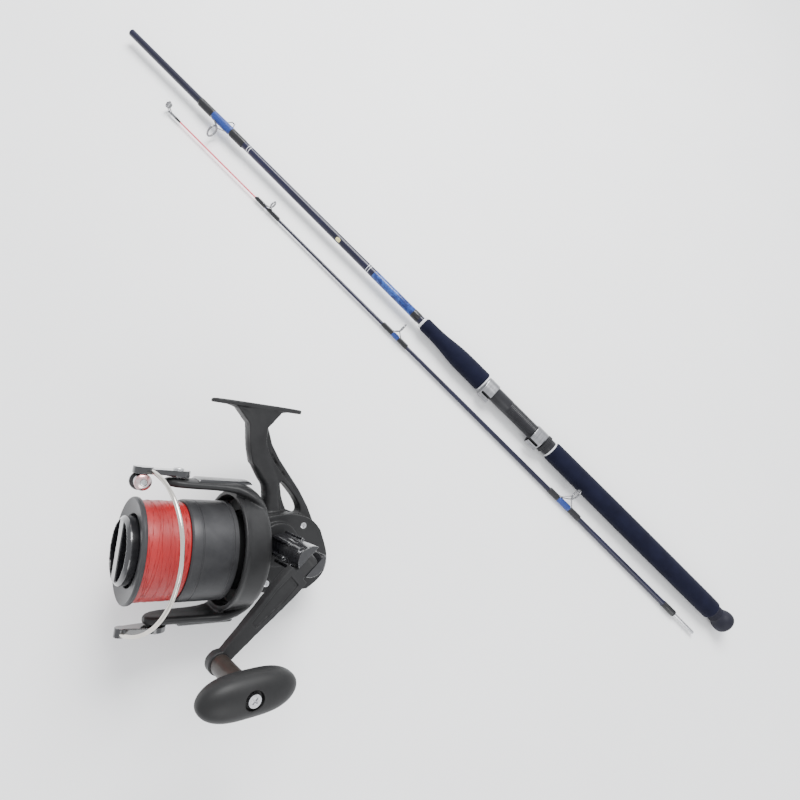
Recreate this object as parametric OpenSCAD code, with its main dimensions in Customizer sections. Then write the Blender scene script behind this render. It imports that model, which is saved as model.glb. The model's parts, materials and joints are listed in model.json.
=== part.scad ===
// Two-piece spinning rod, taken apart, with its front-drag spinning reel beside it.
// Millimetres, +Z up. The rod lies along X with its butt towards +X.

/* [Butt section] */
// Outside diameter of the blank at the ferrule end
ferrule_d = 7; // [6.4:0.2:9]
// Outside diameter of the blank where it enters the foregrip
blank_d = 9; // [8.8:0.2:10]
// Bore of the blank behind the ferrule
blank_bore_d = 4.4; // [3.8:0.2:4.8]
// Length of bare blank ahead of the foregrip
front_len = 412; // [360:1:600]
// Length of the foregrip
foregrip_len = 84; // [60:1:130]
// Diameter of the foregrip at its nose
foregrip_nose_d = 14.4; // [13:0.2:17]
// Largest diameter of both foam grips
grip_d = 20.6; // [19.6:0.2:26]
// Length of the butt grip
butt_grip_len = 228; // [150:1:320]
// Length of the butt cap
cap_len = 23; // [20:1:30]
// Diameter of the flared end of the butt cap
cap_d = 22; // [21:0.2:30]

/* [Reel seat] */
// Diameter of the seat tube
seat_d = 15.6; // [14.6:0.2:18]
// Length of the seat tube between the trim rings
seat_len = 93; // [84:1:120]
// Outside diameter of the round part of both hoods
hood_d = 18.2; // [17.6:0.2:21]
// Length of each hood
hood_len = 14; // [12:1:20]
// Height of the hood pocket over the seat tube
pocket_h = 4.4; // [4.2:0.1:5]
// Width of the hood pocket
pocket_w = 12; // [10:0.5:14]
// Depth of the hood pocket
pocket_depth = 11; // [8:0.5:11.5]
// Length of the lock nut
nut_len = 10; // [8:1:14]

/* [Tip section] */
// Length of the tip section without its spigot
tip_len = 711; // [680:1:900]
// Length of the solid coloured tip ahead of its sleeve
red_len = 125; // [90:1:160]
// Diameter of the solid coloured tip
red_d = 1.6; // [1.4:0.1:2]
// Diameter of the tip blank where the solid tip enters
tip_fine_d = 2.6; // [2.4:0.1:3.2]
// Diameter of the tip blank at its thick end
tip_thick_d = 5.8; // [5.4:0.2:6.8]
// Diameter of the spigot
spigot_d = 3.4; // [3:0.1:3.6]
// Diameter of the spigot's glued tail
spigot_tail_d = 2.4; // [2:0.1:2.8]
// Bare length of the spigot
spigot_len = 27; // [20:1:40]
// Radial clearance of the spigot in the ferrule
spigot_fit = 0.04; // [0.02:0.01:0.08]

/* [Guides] */
// Wire radius of the guide frames
wire_r = 0.6; // [0.5:0.05:0.7]
// Place of the butt guide from the ferrule end
butt_guide_s = 131; // [80:1:200]
// Half length of the butt guide over its feet
butt_guide_half = 20; // [16:1:24]
// Inner radius of the butt guide ring
butt_ring_r = 5; // [4:0.5:6]
// Height of the butt guide ring centre over the blank axis
butt_ring_h = 15.4; // [14:0.2:18]
// Inner radii of the tip section guides, thick end first
tip_ring_r = [4.6, 3.2, 2.2];
// Heights of those ring centres over the blank axis
tip_ring_h = [16.5, 11.6, 7.4];
// Places of those guides from the tip-top
tip_ring_t = [557, 321, 144];
// Half length of each guide over its two feet
guide_half = [19, 13, 9];

/* [Reel body] */
// Height of the foot's top face over the spool axis
foot_top = 108; // [100:1:130]
// Length of the foot
foot_len = 72; // [60:1:76]
// Width of the foot
foot_w = 15; // [12:0.5:16]
// Thickness of the foot at its ends
foot_t = 3.4; // [3:0.1:3.8]
// Half width of the gear case towards the left side
case_left = 19; // [19:0.5:22]
// Half width of the gear case towards the handle side
case_right = 17; // [17:0.5:20]
// Wall of the gear case
case_wall = 2.4; // [2:0.1:3]
// Outside radius of the drum ahead of the case, round the drive gear
drum_r = 24.4; // [24.2:0.1:25]
// Places of the side cover's screws along X and Z
screw_places = [[-21, 21.5], [-38, -8], [3, -21]];
// Place of the anti-reverse lever's pivot along X
lever_x = -33; // [-35:0.5:-31]
// Place of the anti-reverse lever's pivot along Z
lever_z = -22; // [-23:0.5:-21]

/* [Rotor and bail] */
// Outside radius of the rotor cup
cup_r = 41; // [39.5:0.5:42]
// Length of the rotor cup
cup_len = 20; // [16:1:22]
// Outside radius of the rotor arms
arm_r = 49.5; // [48.5:0.5:50]
// Distance of the bail pivots ahead of the handle axis
pivot_x = 72; // [68:1:76]
// Radius of the half circle of bail wire
bail_r = 54; // [53:0.5:56]
// Diameter of the bail wire
bail_d = 2.8; // [2:0.2:3.2]
// Lean of the bail wire's plane towards the handle side
wire_tilt = 17; // [10:1:20]
// Place of the line roller ahead of the handle axis
roller_x = 96; // [95:0.5:97]
// Largest radius of the line roller's seat
roller_r = 5.2; // [4.6:0.1:5.4]
// Length of the line roller
roller_len = 8; // [7:0.2:9]
// Thickness of the ear that holds the line roller
ear_t = 1.8; // [1.6:0.1:2]

/* [Spool] */
// Radius of the spool's front lip
lip_r = 35; // [34.5:0.5:36]
// Radius of the wound line
line_r = 33; // [26:0.5:33.5]
// Radius of the spool skirt
skirt_r = 34.6; // [34:0.2:35.2]
// Length of the spool skirt
skirt_len = 31; // [26:1:32]
// Width of the winding between the flanges
winding_w = 28; // [22:1:28]
// Stroke of the spool each way from its middle place
stroke = 10; // [6:1:10]
// Radius of the drag knob
drag_r = 22.5; // [18:0.5:23]
// Radius of the core under the line
core_r = 25; // [24:0.5:26]
// Radius of the stack of drag washers
drag_stack_r = 17; // [14:0.5:18]

/* [Drive] */
// Diameter of the main shaft
shaft_d = 5; // [4:0.5:5]
// Offset of the handle axis above the spool axis
gear_offset = 8; // [8:0.5:9]
// Pitch radius of the pinion
pinion_r = 4.6; // [4.2:0.1:4.8]
// Outer radius of the drive gear
drive_r = 14.4; // [13.5:0.1:14.5]
// Radius of the oscillation gear
osc_r = 11.6; // [11:0.1:12]
// Place of the oscillation gear's axis along X
osc_x = -20; // [-21:0.5:-19.5]
// Place of the oscillation gear's inner face along Y
osc_y = 6; // [6:0.1:6.5]
// Height of the slider's guide rod under the spool axis, as a Z value
slider_rod_z = -11; // [-11.5:0.1:-10.6]
// Radial running clearance of shafts in bores
run_fit = 0.05; // [0.02:0.01:0.08]

/* [Handle] */
// Distance of the arm's mid plane from the spool axis
arm_y = 69; // [67:1:76]
// Length of the arm from its hinge to the knob spindle
handle_len = 80; // [60:1:95]
// Length of the knob across its long way
knob_len = 58; // [44:1:66]
// Thickness of the knob
knob_t = 24; // [18:1:26]
// Distance of the knob's middle from the arm's mid plane
knob_out = 44; // [32:1:50]
// Angle of the handle arm below the forward direction
handle_angle = 48; // [0:1:180]
// Angle of the knob's long way from the arm
knob_turn = -43; // [-180:1:180]

/* [Layout] */
// Gap between the axes of the two rod sections
section_gap = 30; // [29:1:60]
// Setback of the tip-top behind the ferrule end
tip_start = 83; // [0:1:120]
// Place of the reel along the rod, from the ferrule end to the handle axis
reel_along = 458; // [300:1:700]
// Place of the reel off the rod axis
reel_off = 265; // [240:1:360]
// Turns of the reel about X, then Y, then Z
reel_turn = [71.3, -20.1, -134.1];
// Height of the reel's spool axis at the handle axis over the floor
reel_height = 36.7; // [30:0.1:70]
// Angle of the butt section's guides below the floor plane's direction
guide_droop = 0; // [0:1:90]
// Angle of the tip section's guides above the floor plane's direction
tip_guide_rise = 50; // [40:1:90]
// Height of the tip section's axis over the floor
tip_height = 3.6; // [3.4:0.1:6]
// Centring shift of the whole layout
centre = [-422.9, 180.5, 0];

/* [Hidden] */
$fn = 48;
seam = 0.02;
foot_y = 0.5;
seat_r = seat_d / 2;
hood_r = hood_d / 2;
grip_r = grip_d / 2;
trim_w = 1.6;
check_w = 2.6;
foregrip_s = front_len + check_w;
seat_s = foregrip_s + foregrip_len + trim_w;
grip_s = seat_s + seat_len + trim_w;
cap_s = grip_s + butt_grip_len;
butt_len = cap_s + cap_len;
nut_s = grip_s - trim_w - nut_len;
slide_hood_s = nut_s - hood_len;
glued_r = blank_d / 2;
ferrule_depth = spigot_len + 12;
spigot_hidden = 38;
cup_x = 12;
skirt_x = cup_x + stroke + 12;
winding_x = skirt_x + skirt_len + 1;
lip_x = winding_x + winding_w;
case_front = cup_x - 1.5;
web_x = 34;
arm_end = 80;
handle_z = gear_offset;
boss_y = 24;
hinge_y = arm_y;
nose_r = 14;
drum_end = 20;
roller_y = 3;
ear_y = -roller_y;
bail_z = bail_r - 3.8;
roller_z = bail_z - 4.4;
lever_end_x = pivot_x + 21;
lever_end_r = 4;
osc_drive_r = -osc_x - osc_r - 0.2;
pinion_out = 4;
pinion_bearing_r = 8;
clutch_r = 11.5;
gear_bearing_r = 7;
shaft_bearing_r = 4.5;
gear_face_y = -pinion_r;
body_colour = [0.19, 0.19, 0.2];
dark_colour = [0.1, 0.1, 0.11];
metal_colour = [0.75, 0.75, 0.77];
foam_colour = [0.07, 0.08, 0.16];
blank_colour = [0.12, 0.1, 0.24];
blue_colour = [0.12, 0.25, 0.6];

// ---- placing ----

module on_butt() {
    translate([centre[0], centre[1], cap_d / 2]) children();
}

module on_tip() {
    translate([centre[0] + tip_start, centre[1] - section_gap, tip_height]) children();
}

module on_reel() {
    translate([centre[0] + reel_along, centre[1] - reel_off, reel_height])
        rotate(reel_turn) children();
}

// Turns a shape built above the blank towards the guides' side of each section
module butt_side() {
    rotate([90 + guide_droop, 0, 0]) children();
}

module tip_side() {
    rotate([tip_guide_rise - 90, 0, 0]) children();
}

// ---- basic shapes ----

// Cylinder along X from x0 to x1
module xcyl(x0, x1, r) {
    translate([x0, 0, 0]) rotate([0, 90, 0]) cylinder(h = x1 - x0, r = r);
}

// Cylinder along Y from y0 to y1
module ycyl(y0, y1, r) {
    translate([0, y0, 0]) rotate([-90, 0, 0]) cylinder(h = y1 - y0, r = r);
}

// Revolves a list of [distance along X, radius] points about X
module turned(points) {
    rotate([0, 90, 0]) rotate_extrude() polygon([for (p = points) [p[1], p[0]]]);
}

// Tube along X
module xtube(x0, x1, r_out, r_in) {
    turned([[x0, r_in], [x0, r_out], [x1, r_out], [x1, r_in]]);
}

// Round bar between two points
module bar(a, b, r) {
    d = b - a;
    len = norm(d);
    translate(a) rotate([0, acos(d[2] / len), atan2(d[1], d[0])]) cylinder(h = len, r = r, $fn = 20);
}

// Ring of round wire whose axis is X
module wire_ring(r_mid, r_wire) {
    rotate([0, 90, 0]) rotate_extrude() translate([r_mid, 0]) circle(r_wire, $fn = 20);
}

// Points of an arc in a flat outline
function arc(c, r, a0, a1, n) = [
    for (i = [0:n]) [c[0] + r * cos(a0 + (a1 - a0) * i / n), c[1] + r * sin(a0 + (a1 - a0) * i / n)]
];

// Points of a cubic curve in a flat outline
function curve(p, q, r, s, n) = [
    for (i = [0:n]) let (t = i / n, u = 1 - t)
        u * u * u * p + 3 * u * u * t * q + 3 * u * t * t * r + t * t * t * s
];

function mix(a, b, t) = a + (b - a) * t;

// Radius of the butt blank at distance s from the ferrule end
function butt_r(s) = s > front_len ? glued_r : mix(ferrule_d / 2, glued_r, s / front_len);

// Radius of the tip blank at distance t from the tip-top
function tip_r(t) = mix(tip_fine_d / 2, tip_thick_d / 2, max(0, t - red_len) / (tip_len - red_len));

// ---- butt section ----

module butt_blank() {
    bore = spigot_d / 2 + spigot_fit;
    color(blank_colour) on_butt() turned([
        [0, bore], [0, ferrule_d / 2], [front_len, glued_r], [cap_s + 6, glued_r],
        [cap_s + 6, blank_bore_d / 2], [ferrule_depth, blank_bore_d / 2], [ferrule_depth, bore]
    ]);
}

// Skin of decoration on the blank from s0 to s1
module blank_skin(s0, s1, t) {
    turned([[s0, butt_r(s0)], [s0, butt_r(s0) + t], [s1, butt_r(s1) + t], [s1, butt_r(s1)]]);
}

module accent_band() {
    color(blue_colour) on_butt() blank_skin(front_len - 68, front_len - 13, 0.15);
}

module winding_check() {
    color("white") on_butt() xtube(front_len, front_len + check_w, 6.4, glued_r);
}

module foregrip() {
    nose = foregrip_nose_d / 2;
    s0 = foregrip_s;
    s1 = s0 + foregrip_len;
    color(foam_colour) on_butt() turned(concat(
        [[s0, glued_r]],
        arc([s0 + 2, nose - 2], 2, 180, 90, 6),
        curve([s0 + 12, nose], [s0 + 34, nose + 0.3], [s0 + 40, grip_r], [s0 + 58, grip_r], 12),
        curve([s1 - 14, grip_r], [s1 - 8, grip_r], [s1 - 5, grip_r - 0.2], [s1 - 1.5, grip_r - 0.6], 5),
        arc([s1 - 1.5, grip_r - 2.1], 1.5, 90, 0, 5),
        [[s1, glued_r]]
    ));
}

module trim_rings() {
    color(metal_colour) on_butt() {
        xtube(seat_s - trim_w, seat_s, 9, glued_r);
        xtube(grip_s - trim_w, grip_s, 8.8, glued_r);
    }
}

module seat_tube() {
    color(dark_colour) on_butt() xtube(seat_s, grip_s - trim_w, seat_r, glued_r);
}

// Hood whose pocket opens towards +X, from x = 0 to hood_len
module hood(bore) {
    difference() {
        union() {
            turned([[0, bore], [0, hood_r - 0.8], [1.2, hood_r], [hood_len, hood_r], [hood_len, bore]]);
            translate([1.5, 0, seat_r + pocket_h + 1.2 - hood_r]) xcyl(0, hood_len - 1.5, hood_r);
        }
        xcyl(-1, hood_len + 1, bore);
        translate([hood_len - pocket_depth, -pocket_w / 2, 0]) cube([pocket_depth + 1, pocket_w, seat_r + pocket_h]);
    }
}

module fixed_hood() {
    color(metal_colour) on_butt() translate([seat_s, 0, 0]) butt_side() hood(seat_r);
}

module sliding_hood() {
    color(metal_colour) on_butt() translate([slide_hood_s + hood_len, 0, 0])
        butt_side() mirror([1, 0, 0]) hood(seat_r + run_fit);
}

module lock_nut() {
    flats = 8;
    bore = seat_r + run_fit;
    color(dark_colour) on_butt() translate([nut_s + seam, 0, 0]) difference() {
        union() {
            turned([[0, bore], [0, hood_r], [3, hood_r + 0.4], [4.5, hood_r - 0.2], [4.5, bore]]);
            intersection() {
                xcyl(4, nut_len - 2 * seam, hood_r - 0.1);
                rotate([0, 90, 0]) cylinder(h = nut_len - 2 * seam, r = hood_r + 0.35, $fn = flats);
            }
        }
        xcyl(-1, nut_len + 1, bore);
    }
}

module butt_grip() {
    s0 = grip_s;
    s1 = cap_s;
    color(foam_colour) on_butt() turned(concat(
        [[s0, glued_r]],
        arc([s0 + 2, grip_r - 2.3], 2, 180, 90, 6),
        curve([s0 + 20, grip_r - 0.1], [s0 + 60, grip_r], [s1 - 60, grip_r], [s1 - 12, grip_r - 0.1], 8),
        arc([s1 - 1.5, grip_r - 1.9], 1.5, 90, 0, 5),
        [[s1, glued_r]]
    ));
}

module butt_cap() {
    s0 = cap_s;
    s1 = butt_len;
    flare = cap_d / 2;
    color(dark_colour) on_butt() turned(concat(
        [[s0, glued_r], [s0, 8.3]],
        curve([s0 + 5, 8.3], [s0 + 9, 8.5], [s0 + 10, flare - 0.4], [s0 + 15, flare], 8),
        curve([s0 + 17, flare], [s1 - 2, flare - 0.6], [s1 - 0.3, flare - 5], [s1, 0], 10),
        [[s0 + 6, 0], [s0 + 6, glued_r]]
    ));
}

module keeper_loop() {
    s = 135;
    r = butt_r(s) + wire_r;
    reach = 4.5;
    color(metal_colour) on_butt() butt_side() mirror([0, 0, 1]) {
        bar([s - 9, 0, r], [s - 4, 0, r], wire_r);
        bar([s + 4, 0, r], [s + 9, 0, r], wire_r);
        bar([s - 4, 0, r], [s - 1.5, 0, r + reach], wire_r);
        bar([s + 4, 0, r], [s + 1.5, 0, r + reach], wire_r);
        bar([s - 1.5, 0, r + reach], [s + 1.5, 0, r + reach], wire_r);
        for (x = [-4, 4]) translate([s + x, 0, r]) sphere(wire_r * 1.1, $fn = 20);
        for (x = [-1.5, 1.5]) translate([s + x, 0, r + reach]) sphere(wire_r * 1.1, $fn = 20);
    }
}

// ---- guides ----

// Wire frame at x = 0: ring on two forward legs and one rear leg
module guide_frame(ring_r, h, half, blank_r) {
    r_mid = ring_r + 0.9 + wire_r;
    base = blank_r + wire_r;
    knee = half * 0.42;
    spread = 34;
    leg_y = r_mid * sin(spread);
    leg_z = h - r_mid * cos(spread);
    leg_r = 0.86 * wire_r;
    translate([0, 0, h]) wire_ring(r_mid, wire_r);
    for (side = [-1, 1]) {
        bar([0, side * leg_y, leg_z], [-knee, side * foot_y, base], leg_r);
        bar([-knee, side * foot_y, base], [-half, side * foot_y, base], wire_r);
        translate([-knee, side * foot_y, base]) sphere(wire_r * 1.12, $fn = 20);
    }
    bar([0, 0, h - r_mid], [knee, 0, base], leg_r);
    bar([knee, 0, base], [half, 0, base], wire_r);
    translate([knee, 0, base]) sphere(wire_r * 1.12, $fn = 20);
}

// Ceramic ring that seats in the frame's wire ring
module guide_ring(ring_r, h) {
    r_mid = ring_r + 0.9 + wire_r;
    translate([0, 0, h]) difference() {
        turned(concat(
            arc([0, ring_r + 0.75], 0.75, 180, 360, 8),
            [[0.75, ring_r + 1.3], [-0.75, ring_r + 1.3]]
        ));
        wire_ring(r_mid, wire_r + seam);
    }
}

module butt_guide_frame() {
    color(dark_colour) on_butt() translate([butt_guide_s, 0, 0]) butt_side()
        guide_frame(butt_ring_r, butt_ring_h, butt_guide_half, butt_r(butt_guide_s + butt_guide_half));
}

module butt_guide_ring() {
    color("silver") on_butt() translate([butt_guide_s, 0, 0]) butt_side()
        guide_ring(butt_ring_r, butt_ring_h);
}

// Thread wrap from x0 to x1 over one guide foot, on a blank of radius r
module wrap(x0, x1, r, foot) {
    t = 0.35;
    difference() {
        union() {
            xtube(x0, x1, r + t, r);
            if (foot) translate([0, 0, r + wire_r - 0.1]) xcyl(x0, x1, wire_r + 0.75);
        }
        xcyl(x0 - 1, x1 + 1, r + seam);
        if (foot) for (side = [-1, 0, 1])
            translate([0, side * foot_y, r + wire_r]) xcyl(x0 - 1, x1 + 1, wire_r + seam);
    }
}

module butt_wraps() {
    r = butt_r(butt_guide_s + butt_guide_half);
    color(dark_colour) on_butt() translate([butt_guide_s, 0, 0]) butt_side() {
        wrap(-33, -14, r, true);
        wrap(11, 29, r, true);
    }
}

module butt_accent_wrap() {
    r = butt_r(butt_guide_s + butt_guide_half);
    color(blue_colour) on_butt() translate([butt_guide_s, 0, 0]) xtube(-7, 7, r + 0.3, r);
}

// ---- tip section ----

module tip_blank() {
    color(blank_colour) on_tip() turned([
        [red_len, red_d / 2], [red_len, tip_r(red_len)], [tip_len, tip_r(tip_len)],
        [tip_len, spigot_tail_d / 2], [tip_len - spigot_hidden, spigot_tail_d / 2],
        [tip_len - spigot_hidden, red_d / 2]
    ]);
}

module red_tip() {
    color([0.85, 0.25, 0.3]) on_tip() xcyl(6, red_len + 30, red_d / 2);
}

module spigot() {
    end = tip_len + spigot_len;
    color(metal_colour) on_tip() turned([
        [tip_len - spigot_hidden, 0], [tip_len - spigot_hidden, spigot_tail_d / 2],
        [tip_len, spigot_tail_d / 2], [tip_len, spigot_d / 2],
        [end - 0.6, spigot_d / 2], [end, spigot_d / 2 - 0.5], [end, 0]
    ]);
}

module spigot_collar() {
    s0 = tip_len - 15;
    color(dark_colour) on_tip() turned([
        [s0, tip_r(s0)], [s0, tip_r(s0) + 0.5], [tip_len, tip_r(tip_len) + 0.5], [tip_len, tip_r(tip_len)]
    ]);
}

module tip_top() {
    ring_r = 1.5;
    r_mid = ring_r + 0.9 + wire_r;
    h = 4.6;
    color(dark_colour) on_tip() tip_side() {
        difference() {
            xcyl(4, 14, red_d / 2 + 0.5);
            xcyl(6, 15, red_d / 2);
        }
        translate([0, 0, h]) wire_ring(r_mid, wire_r);
        for (side = [-1, 1])
            bar([0, side * r_mid * 0.8, h - r_mid * 0.6], [8, side * 0.5, 0.4], wire_r * 0.8);
    }
}

// Runs its children at guide number i with its blank radius in $blank
module at_guide(i) {
    $blank = tip_r(tip_ring_t[i] + guide_half[i]);
    on_tip() translate([tip_ring_t[i], 0, 0]) tip_side() children();
}

module tip_guide(i) {
    color(metal_colour) at_guide(i) guide_frame(tip_ring_r[i], tip_ring_h[i], guide_half[i], $blank);
}

module guide_1_frame() {
    tip_guide(0);
}

module guide_2_frame() {
    tip_guide(1);
}

module guide_3_frame() {
    tip_guide(2);
}

module tip_guide_rings() {
    color("silver") {
        for (i = [0:2]) at_guide(i) guide_ring(tip_ring_r[i], tip_ring_h[i]);
        on_tip() tip_side() guide_ring(1.5, 4.6);
    }
}

module tip_wraps() {
    color(dark_colour) {
        for (i = [0:2]) at_guide(i) {
            wrap(-guide_half[i] - 3, -guide_half[i] * 0.62, $blank, true);
            wrap(guide_half[i] * 0.5, guide_half[i] + 3, $blank, true);
        }
        on_tip() turned([[14, red_d / 2], [14, red_d / 2 + 0.5], [20, red_d / 2 + 0.2], [20, red_d / 2]]);
    }
}

module tip_accent_wraps() {
    color(blue_colour) for (i = [0:1]) at_guide(i)
        xtube(-guide_half[i] * 0.34, guide_half[i] * 0.34, $blank + 0.3, $blank);
}

// ---- reel body, in the reel's frame: X along the spool axis, Y to the handle, Z to the foot ----

// Extrudes an outline given in X and Z from y0 to y1
module plate(y0, y1) {
    translate([0, y1, 0]) rotate([90, 0, 0]) linear_extrude(y1 - y0) children();
}

// Outline of the gear case, made smaller all round by inset
module case_outline(inset) {
    w = inset;
    polygon(concat(
        curve([case_front - w, 27 - w], [-4, 31 - w], [-26 + w, 33 - w], [-37 + w, 18 - w], 10),
        curve([-42 + w, 8], [-47 + w, -2], [-48 + w, -12], [-40 + w, -20 + w], 8),
        curve([-32, -26 + w], [-22, -28 + w], [0, -28 + w], [case_front - w, -27 + w], 6)
    ));
}

// Outline of the stem between the foot and the gear case
module stem_outline() {
    polygon(concat(
        curve([31, foot_top - foot_t + 0.5], [27, 94], [27, 84], [24, 73], 8),
        curve([21, 64], [6, 51], [5, 42], [6, 24], 8),
        curve([-36, 19], [-26, 40], [-4, 56], [7, 70], 10),
        curve([12, 78], [13.5, 88], [13, 98], [10, foot_top - foot_t + 0.5], 6)
    ));
}

// Teardrop window through the stem
module stem_window() {
    polygon(concat(
        [[-3, 53]],
        curve([-8, 50], [-22, 38], [-27, 30], [-22, 27.5], 8),
        curve([-16, 25.5], [-8, 34], [-5, 42], [-3, 53], 8)
    ));
}

module reel_body() {
    color(body_colour) on_reel() difference() {
        union() {
            plate(-case_left, case_right - case_wall) case_outline(0);
            plate(-5.5, 5.5) stem_outline();
            xcyl(case_front - 2, drum_end, drum_r);
            xcyl(drum_end - 1, web_x - 1.2, nose_r);
            // Foot: a slim plate, thicker over the stem
            translate([foot_len / 2 - 15, 0, foot_top - foot_t]) linear_extrude(foot_t) polygon(concat(
                arc([foot_len / 2 - 4, 0], 4, -60, 60, 6),
                [[14, foot_w / 2], [-14, foot_w / 2]],
                arc([4 - foot_len / 2, 0], 4, 120, 240, 6),
                [[-14, -foot_w / 2], [14, -foot_w / 2]]
            ));
            plate(-5.5, 5.5) polygon([
                [2, foot_top - foot_t + 0.5], [12, 92], [27, 92], [40, foot_top - foot_t + 0.5]
            ]);
        }
        // Gear space, open towards the side cover
        plate(case_wall - case_left, case_right) case_outline(case_wall);
        intersection() {
            xcyl(0, drum_end - case_wall, drum_r - case_wall);
            plate(case_wall - case_left, case_right - case_wall) translate([0, -40]) square([40, 80]);
        }
        plate(-7, 7) stem_window();
        // Seat for the rod's seat tube
        translate([0, 0, foot_top + seat_r - 0.7]) xcyl(-40, 80, seat_r);
        // Nose: bearing seat, clutch seat and pinion passage
        xcyl(drum_end - 4, 24, pinion_bearing_r);
        xcyl(23.98, 40, clutch_r);
        // Slot for the anti-reverse lever
        translate([lever_x - 14, -4.3, lever_z - 12]) cube([18, 8.6, 15]);
        // Left bearing seat
        translate([0, 0, handle_z]) ycyl(-40, 0, gear_bearing_r);
    }
}

module side_cover() {
    color(body_colour) on_reel() difference() {
        union() {
            plate(case_right - case_wall, case_right + 2) case_outline(0);
            translate([0, 0, handle_z]) ycyl(case_right, boss_y, 16);
        }
        translate([0, 0, handle_z]) {
            ycyl(0, case_right + 3, gear_bearing_r);
            ycyl(0, boss_y + 1, shaft_bearing_r + 0.6);
        }
        // Clear of the drum on the reel body
        xcyl(case_front - 2 - seam, drum_end + 1, drum_r + seam);
        for (p = screw_places) translate([p[0], 0, p[1]]) ycyl(case_right + 0.6, case_right + 9, 2.6);
        for (p = screw_places) translate([p[0], 0, p[1]]) ycyl(0, case_right + 9, 1.4);
    }
}

module body_screws() {
    color(metal_colour) on_reel() for (p = screw_places) translate([p[0], 0, p[1]]) {
        ycyl(case_right + 0.62, case_right + 2.2, 2.5);
        ycyl(case_right - 12, case_right + 0.7, 1.35);
    }
}

module bearing_cap() {
    color(dark_colour) on_reel() translate([0, 0, handle_z]) {
        ycyl(-case_left - 3, -case_left, gear_bearing_r + 1.4);
        ycyl(-case_left - 0.1, -case_left + 1, gear_bearing_r - seam);
    }
}

module pinion_bearing() {
    color("silver") on_reel() xtube(17.5, 23.5, pinion_bearing_r, pinion_out + run_fit);
}

module one_way_clutch() {
    color("silver") on_reel() xtube(24, 31.5, clutch_r, pinion_out + run_fit);
}

module gear_bearings() {
    color("silver") on_reel() translate([0, 0, handle_z]) for (y = [-case_left + 1, case_right - 1])
        difference() {
            ycyl(y, y + 4, gear_bearing_r);
            ycyl(y - 1, y + 5, shaft_bearing_r + run_fit);
        }
}

// Lever under the tail that frees the rotor to turn backwards
module anti_reverse_lever() {
    color(dark_colour) on_reel() translate([lever_x, 0, lever_z]) {
        ycyl(-4, 4, 2);
        rotate([0, -38, 0]) translate([-12, -3.4, -1.4]) cube([12, 6.8, 2.8]);
    }
}

module slider_rod() {
    color(metal_colour) on_reel() translate([0, 0, slider_rod_z]) xcyl(-42, drum_end - case_wall, 1.5);
}

module oscillation_gear() {
    color(metal_colour) on_reel() translate([osc_x, 0, handle_z]) {
        ycyl(osc_y + 0.2, osc_y + 2.4, osc_r);
        ycyl(osc_y, osc_y + 8, 2);
        rotate([0, 40, 0]) translate([5, 0, 0]) ycyl(osc_y - 1.6, osc_y + 1, 1.5);
    }
}

module oscillation_slider() {
    fit = 1.5 + run_fit;
    color(dark_colour) on_reel() difference() {
        translate([osc_x - 5, -4, slider_rod_z - 3.5]) cube([7, 7, 14.8]);
        translate([0, 0, slider_rod_z]) xcyl(-60, 20, fit);
        xcyl(-60, 20, shaft_d / 2);
    }
}

module main_shaft() {
    color(metal_colour) on_reel() xcyl(osc_x - 5.5, lip_x + 3, shaft_d / 2);
}

module pinion_gear() {
    bore = shaft_d / 2 + run_fit;
    teeth = 10;
    root = pinion_r - 0.7;
    color(metal_colour) on_reel() difference() {
        union() {
            xcyl(5, 16.8, root);
            xcyl(16, 42, pinion_out);
            for (i = [0:teeth - 1]) rotate([i * 360 / teeth, 0, 0])
                translate([5, -0.55, 0]) cube([11.4, 1.1, pinion_r]);
        }
        xcyl(0, 60, bore);
    }
}

// ---- rotor and bail ----

module rotor() {
    inner = drum_r + 1;
    sleeve = inner + 2.4;
    disc_x = cup_x + 6.5;
    color(body_colour) on_reel() difference() {
        union() {
            turned([
                [cup_x, cup_r - 4.4], [cup_x, cup_r - 2.4], [cup_x + 1.5, cup_r - 0.8], [cup_x + 4, cup_r],
                [cup_x + cup_len, cup_r], [cup_x + cup_len, cup_r - 2.4], [disc_x + 3, cup_r - 2.4],
                [disc_x + 2.4, sleeve], [web_x + 3, sleeve], [web_x + 3, pinion_out + seam],
                [web_x, pinion_out + seam], [web_x, inner], [disc_x, inner], [disc_x, cup_r - 4.4]
            ]);
            for (side = [0, 180]) rotate([side, 0, 0]) rotor_arm();
        }
        xcyl(0, 90, pinion_out);
        for (side = [0, 180]) rotate([side, 0, 0]) translate([pivot_x, 0, 0]) cylinder(h = 80, r = 1.6);
    }
}

// One arm: a slice of a thick tube, narrowing towards the bail pivot
module rotor_arm() {
    intersection() {
        xtube(cup_x + 3, arm_end, arm_r, cup_r - 1.4);
        linear_extrude(arm_r + 1) polygon(concat(
            [[cup_x, -17], [cup_x + 22, -17]],
            curve([40, -14], [50, -12], [56, -12], [66, -12], 4),
            arc([arm_end - 8, 0], 8, -70, 70, 6),
            curve([66, 12], [56, 12], [50, 12], [40, 14], 4),
            [[cup_x + 22, 17], [cup_x, 17]]
        ));
    }
}

module rotor_nut() {
    color(metal_colour) on_reel() difference() {
        rotate([0, 90, 0]) translate([0, 0, web_x + 3]) cylinder(h = 4.4, r = 7.5, $fn = 6);
        xcyl(0, 60, pinion_out);
    }
}

module arm_covers() {
    color(dark_colour) on_reel() for (side = [0, 180]) rotate([side, 0, 0]) intersection() {
        xtube(cup_x + 8, pivot_x - 12, arm_r + 1.6, arm_r);
        translate([cup_x + 8, -9, 0]) cube([pivot_x - cup_x - 20, 18, arm_r + 3]);
    }
}

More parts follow.
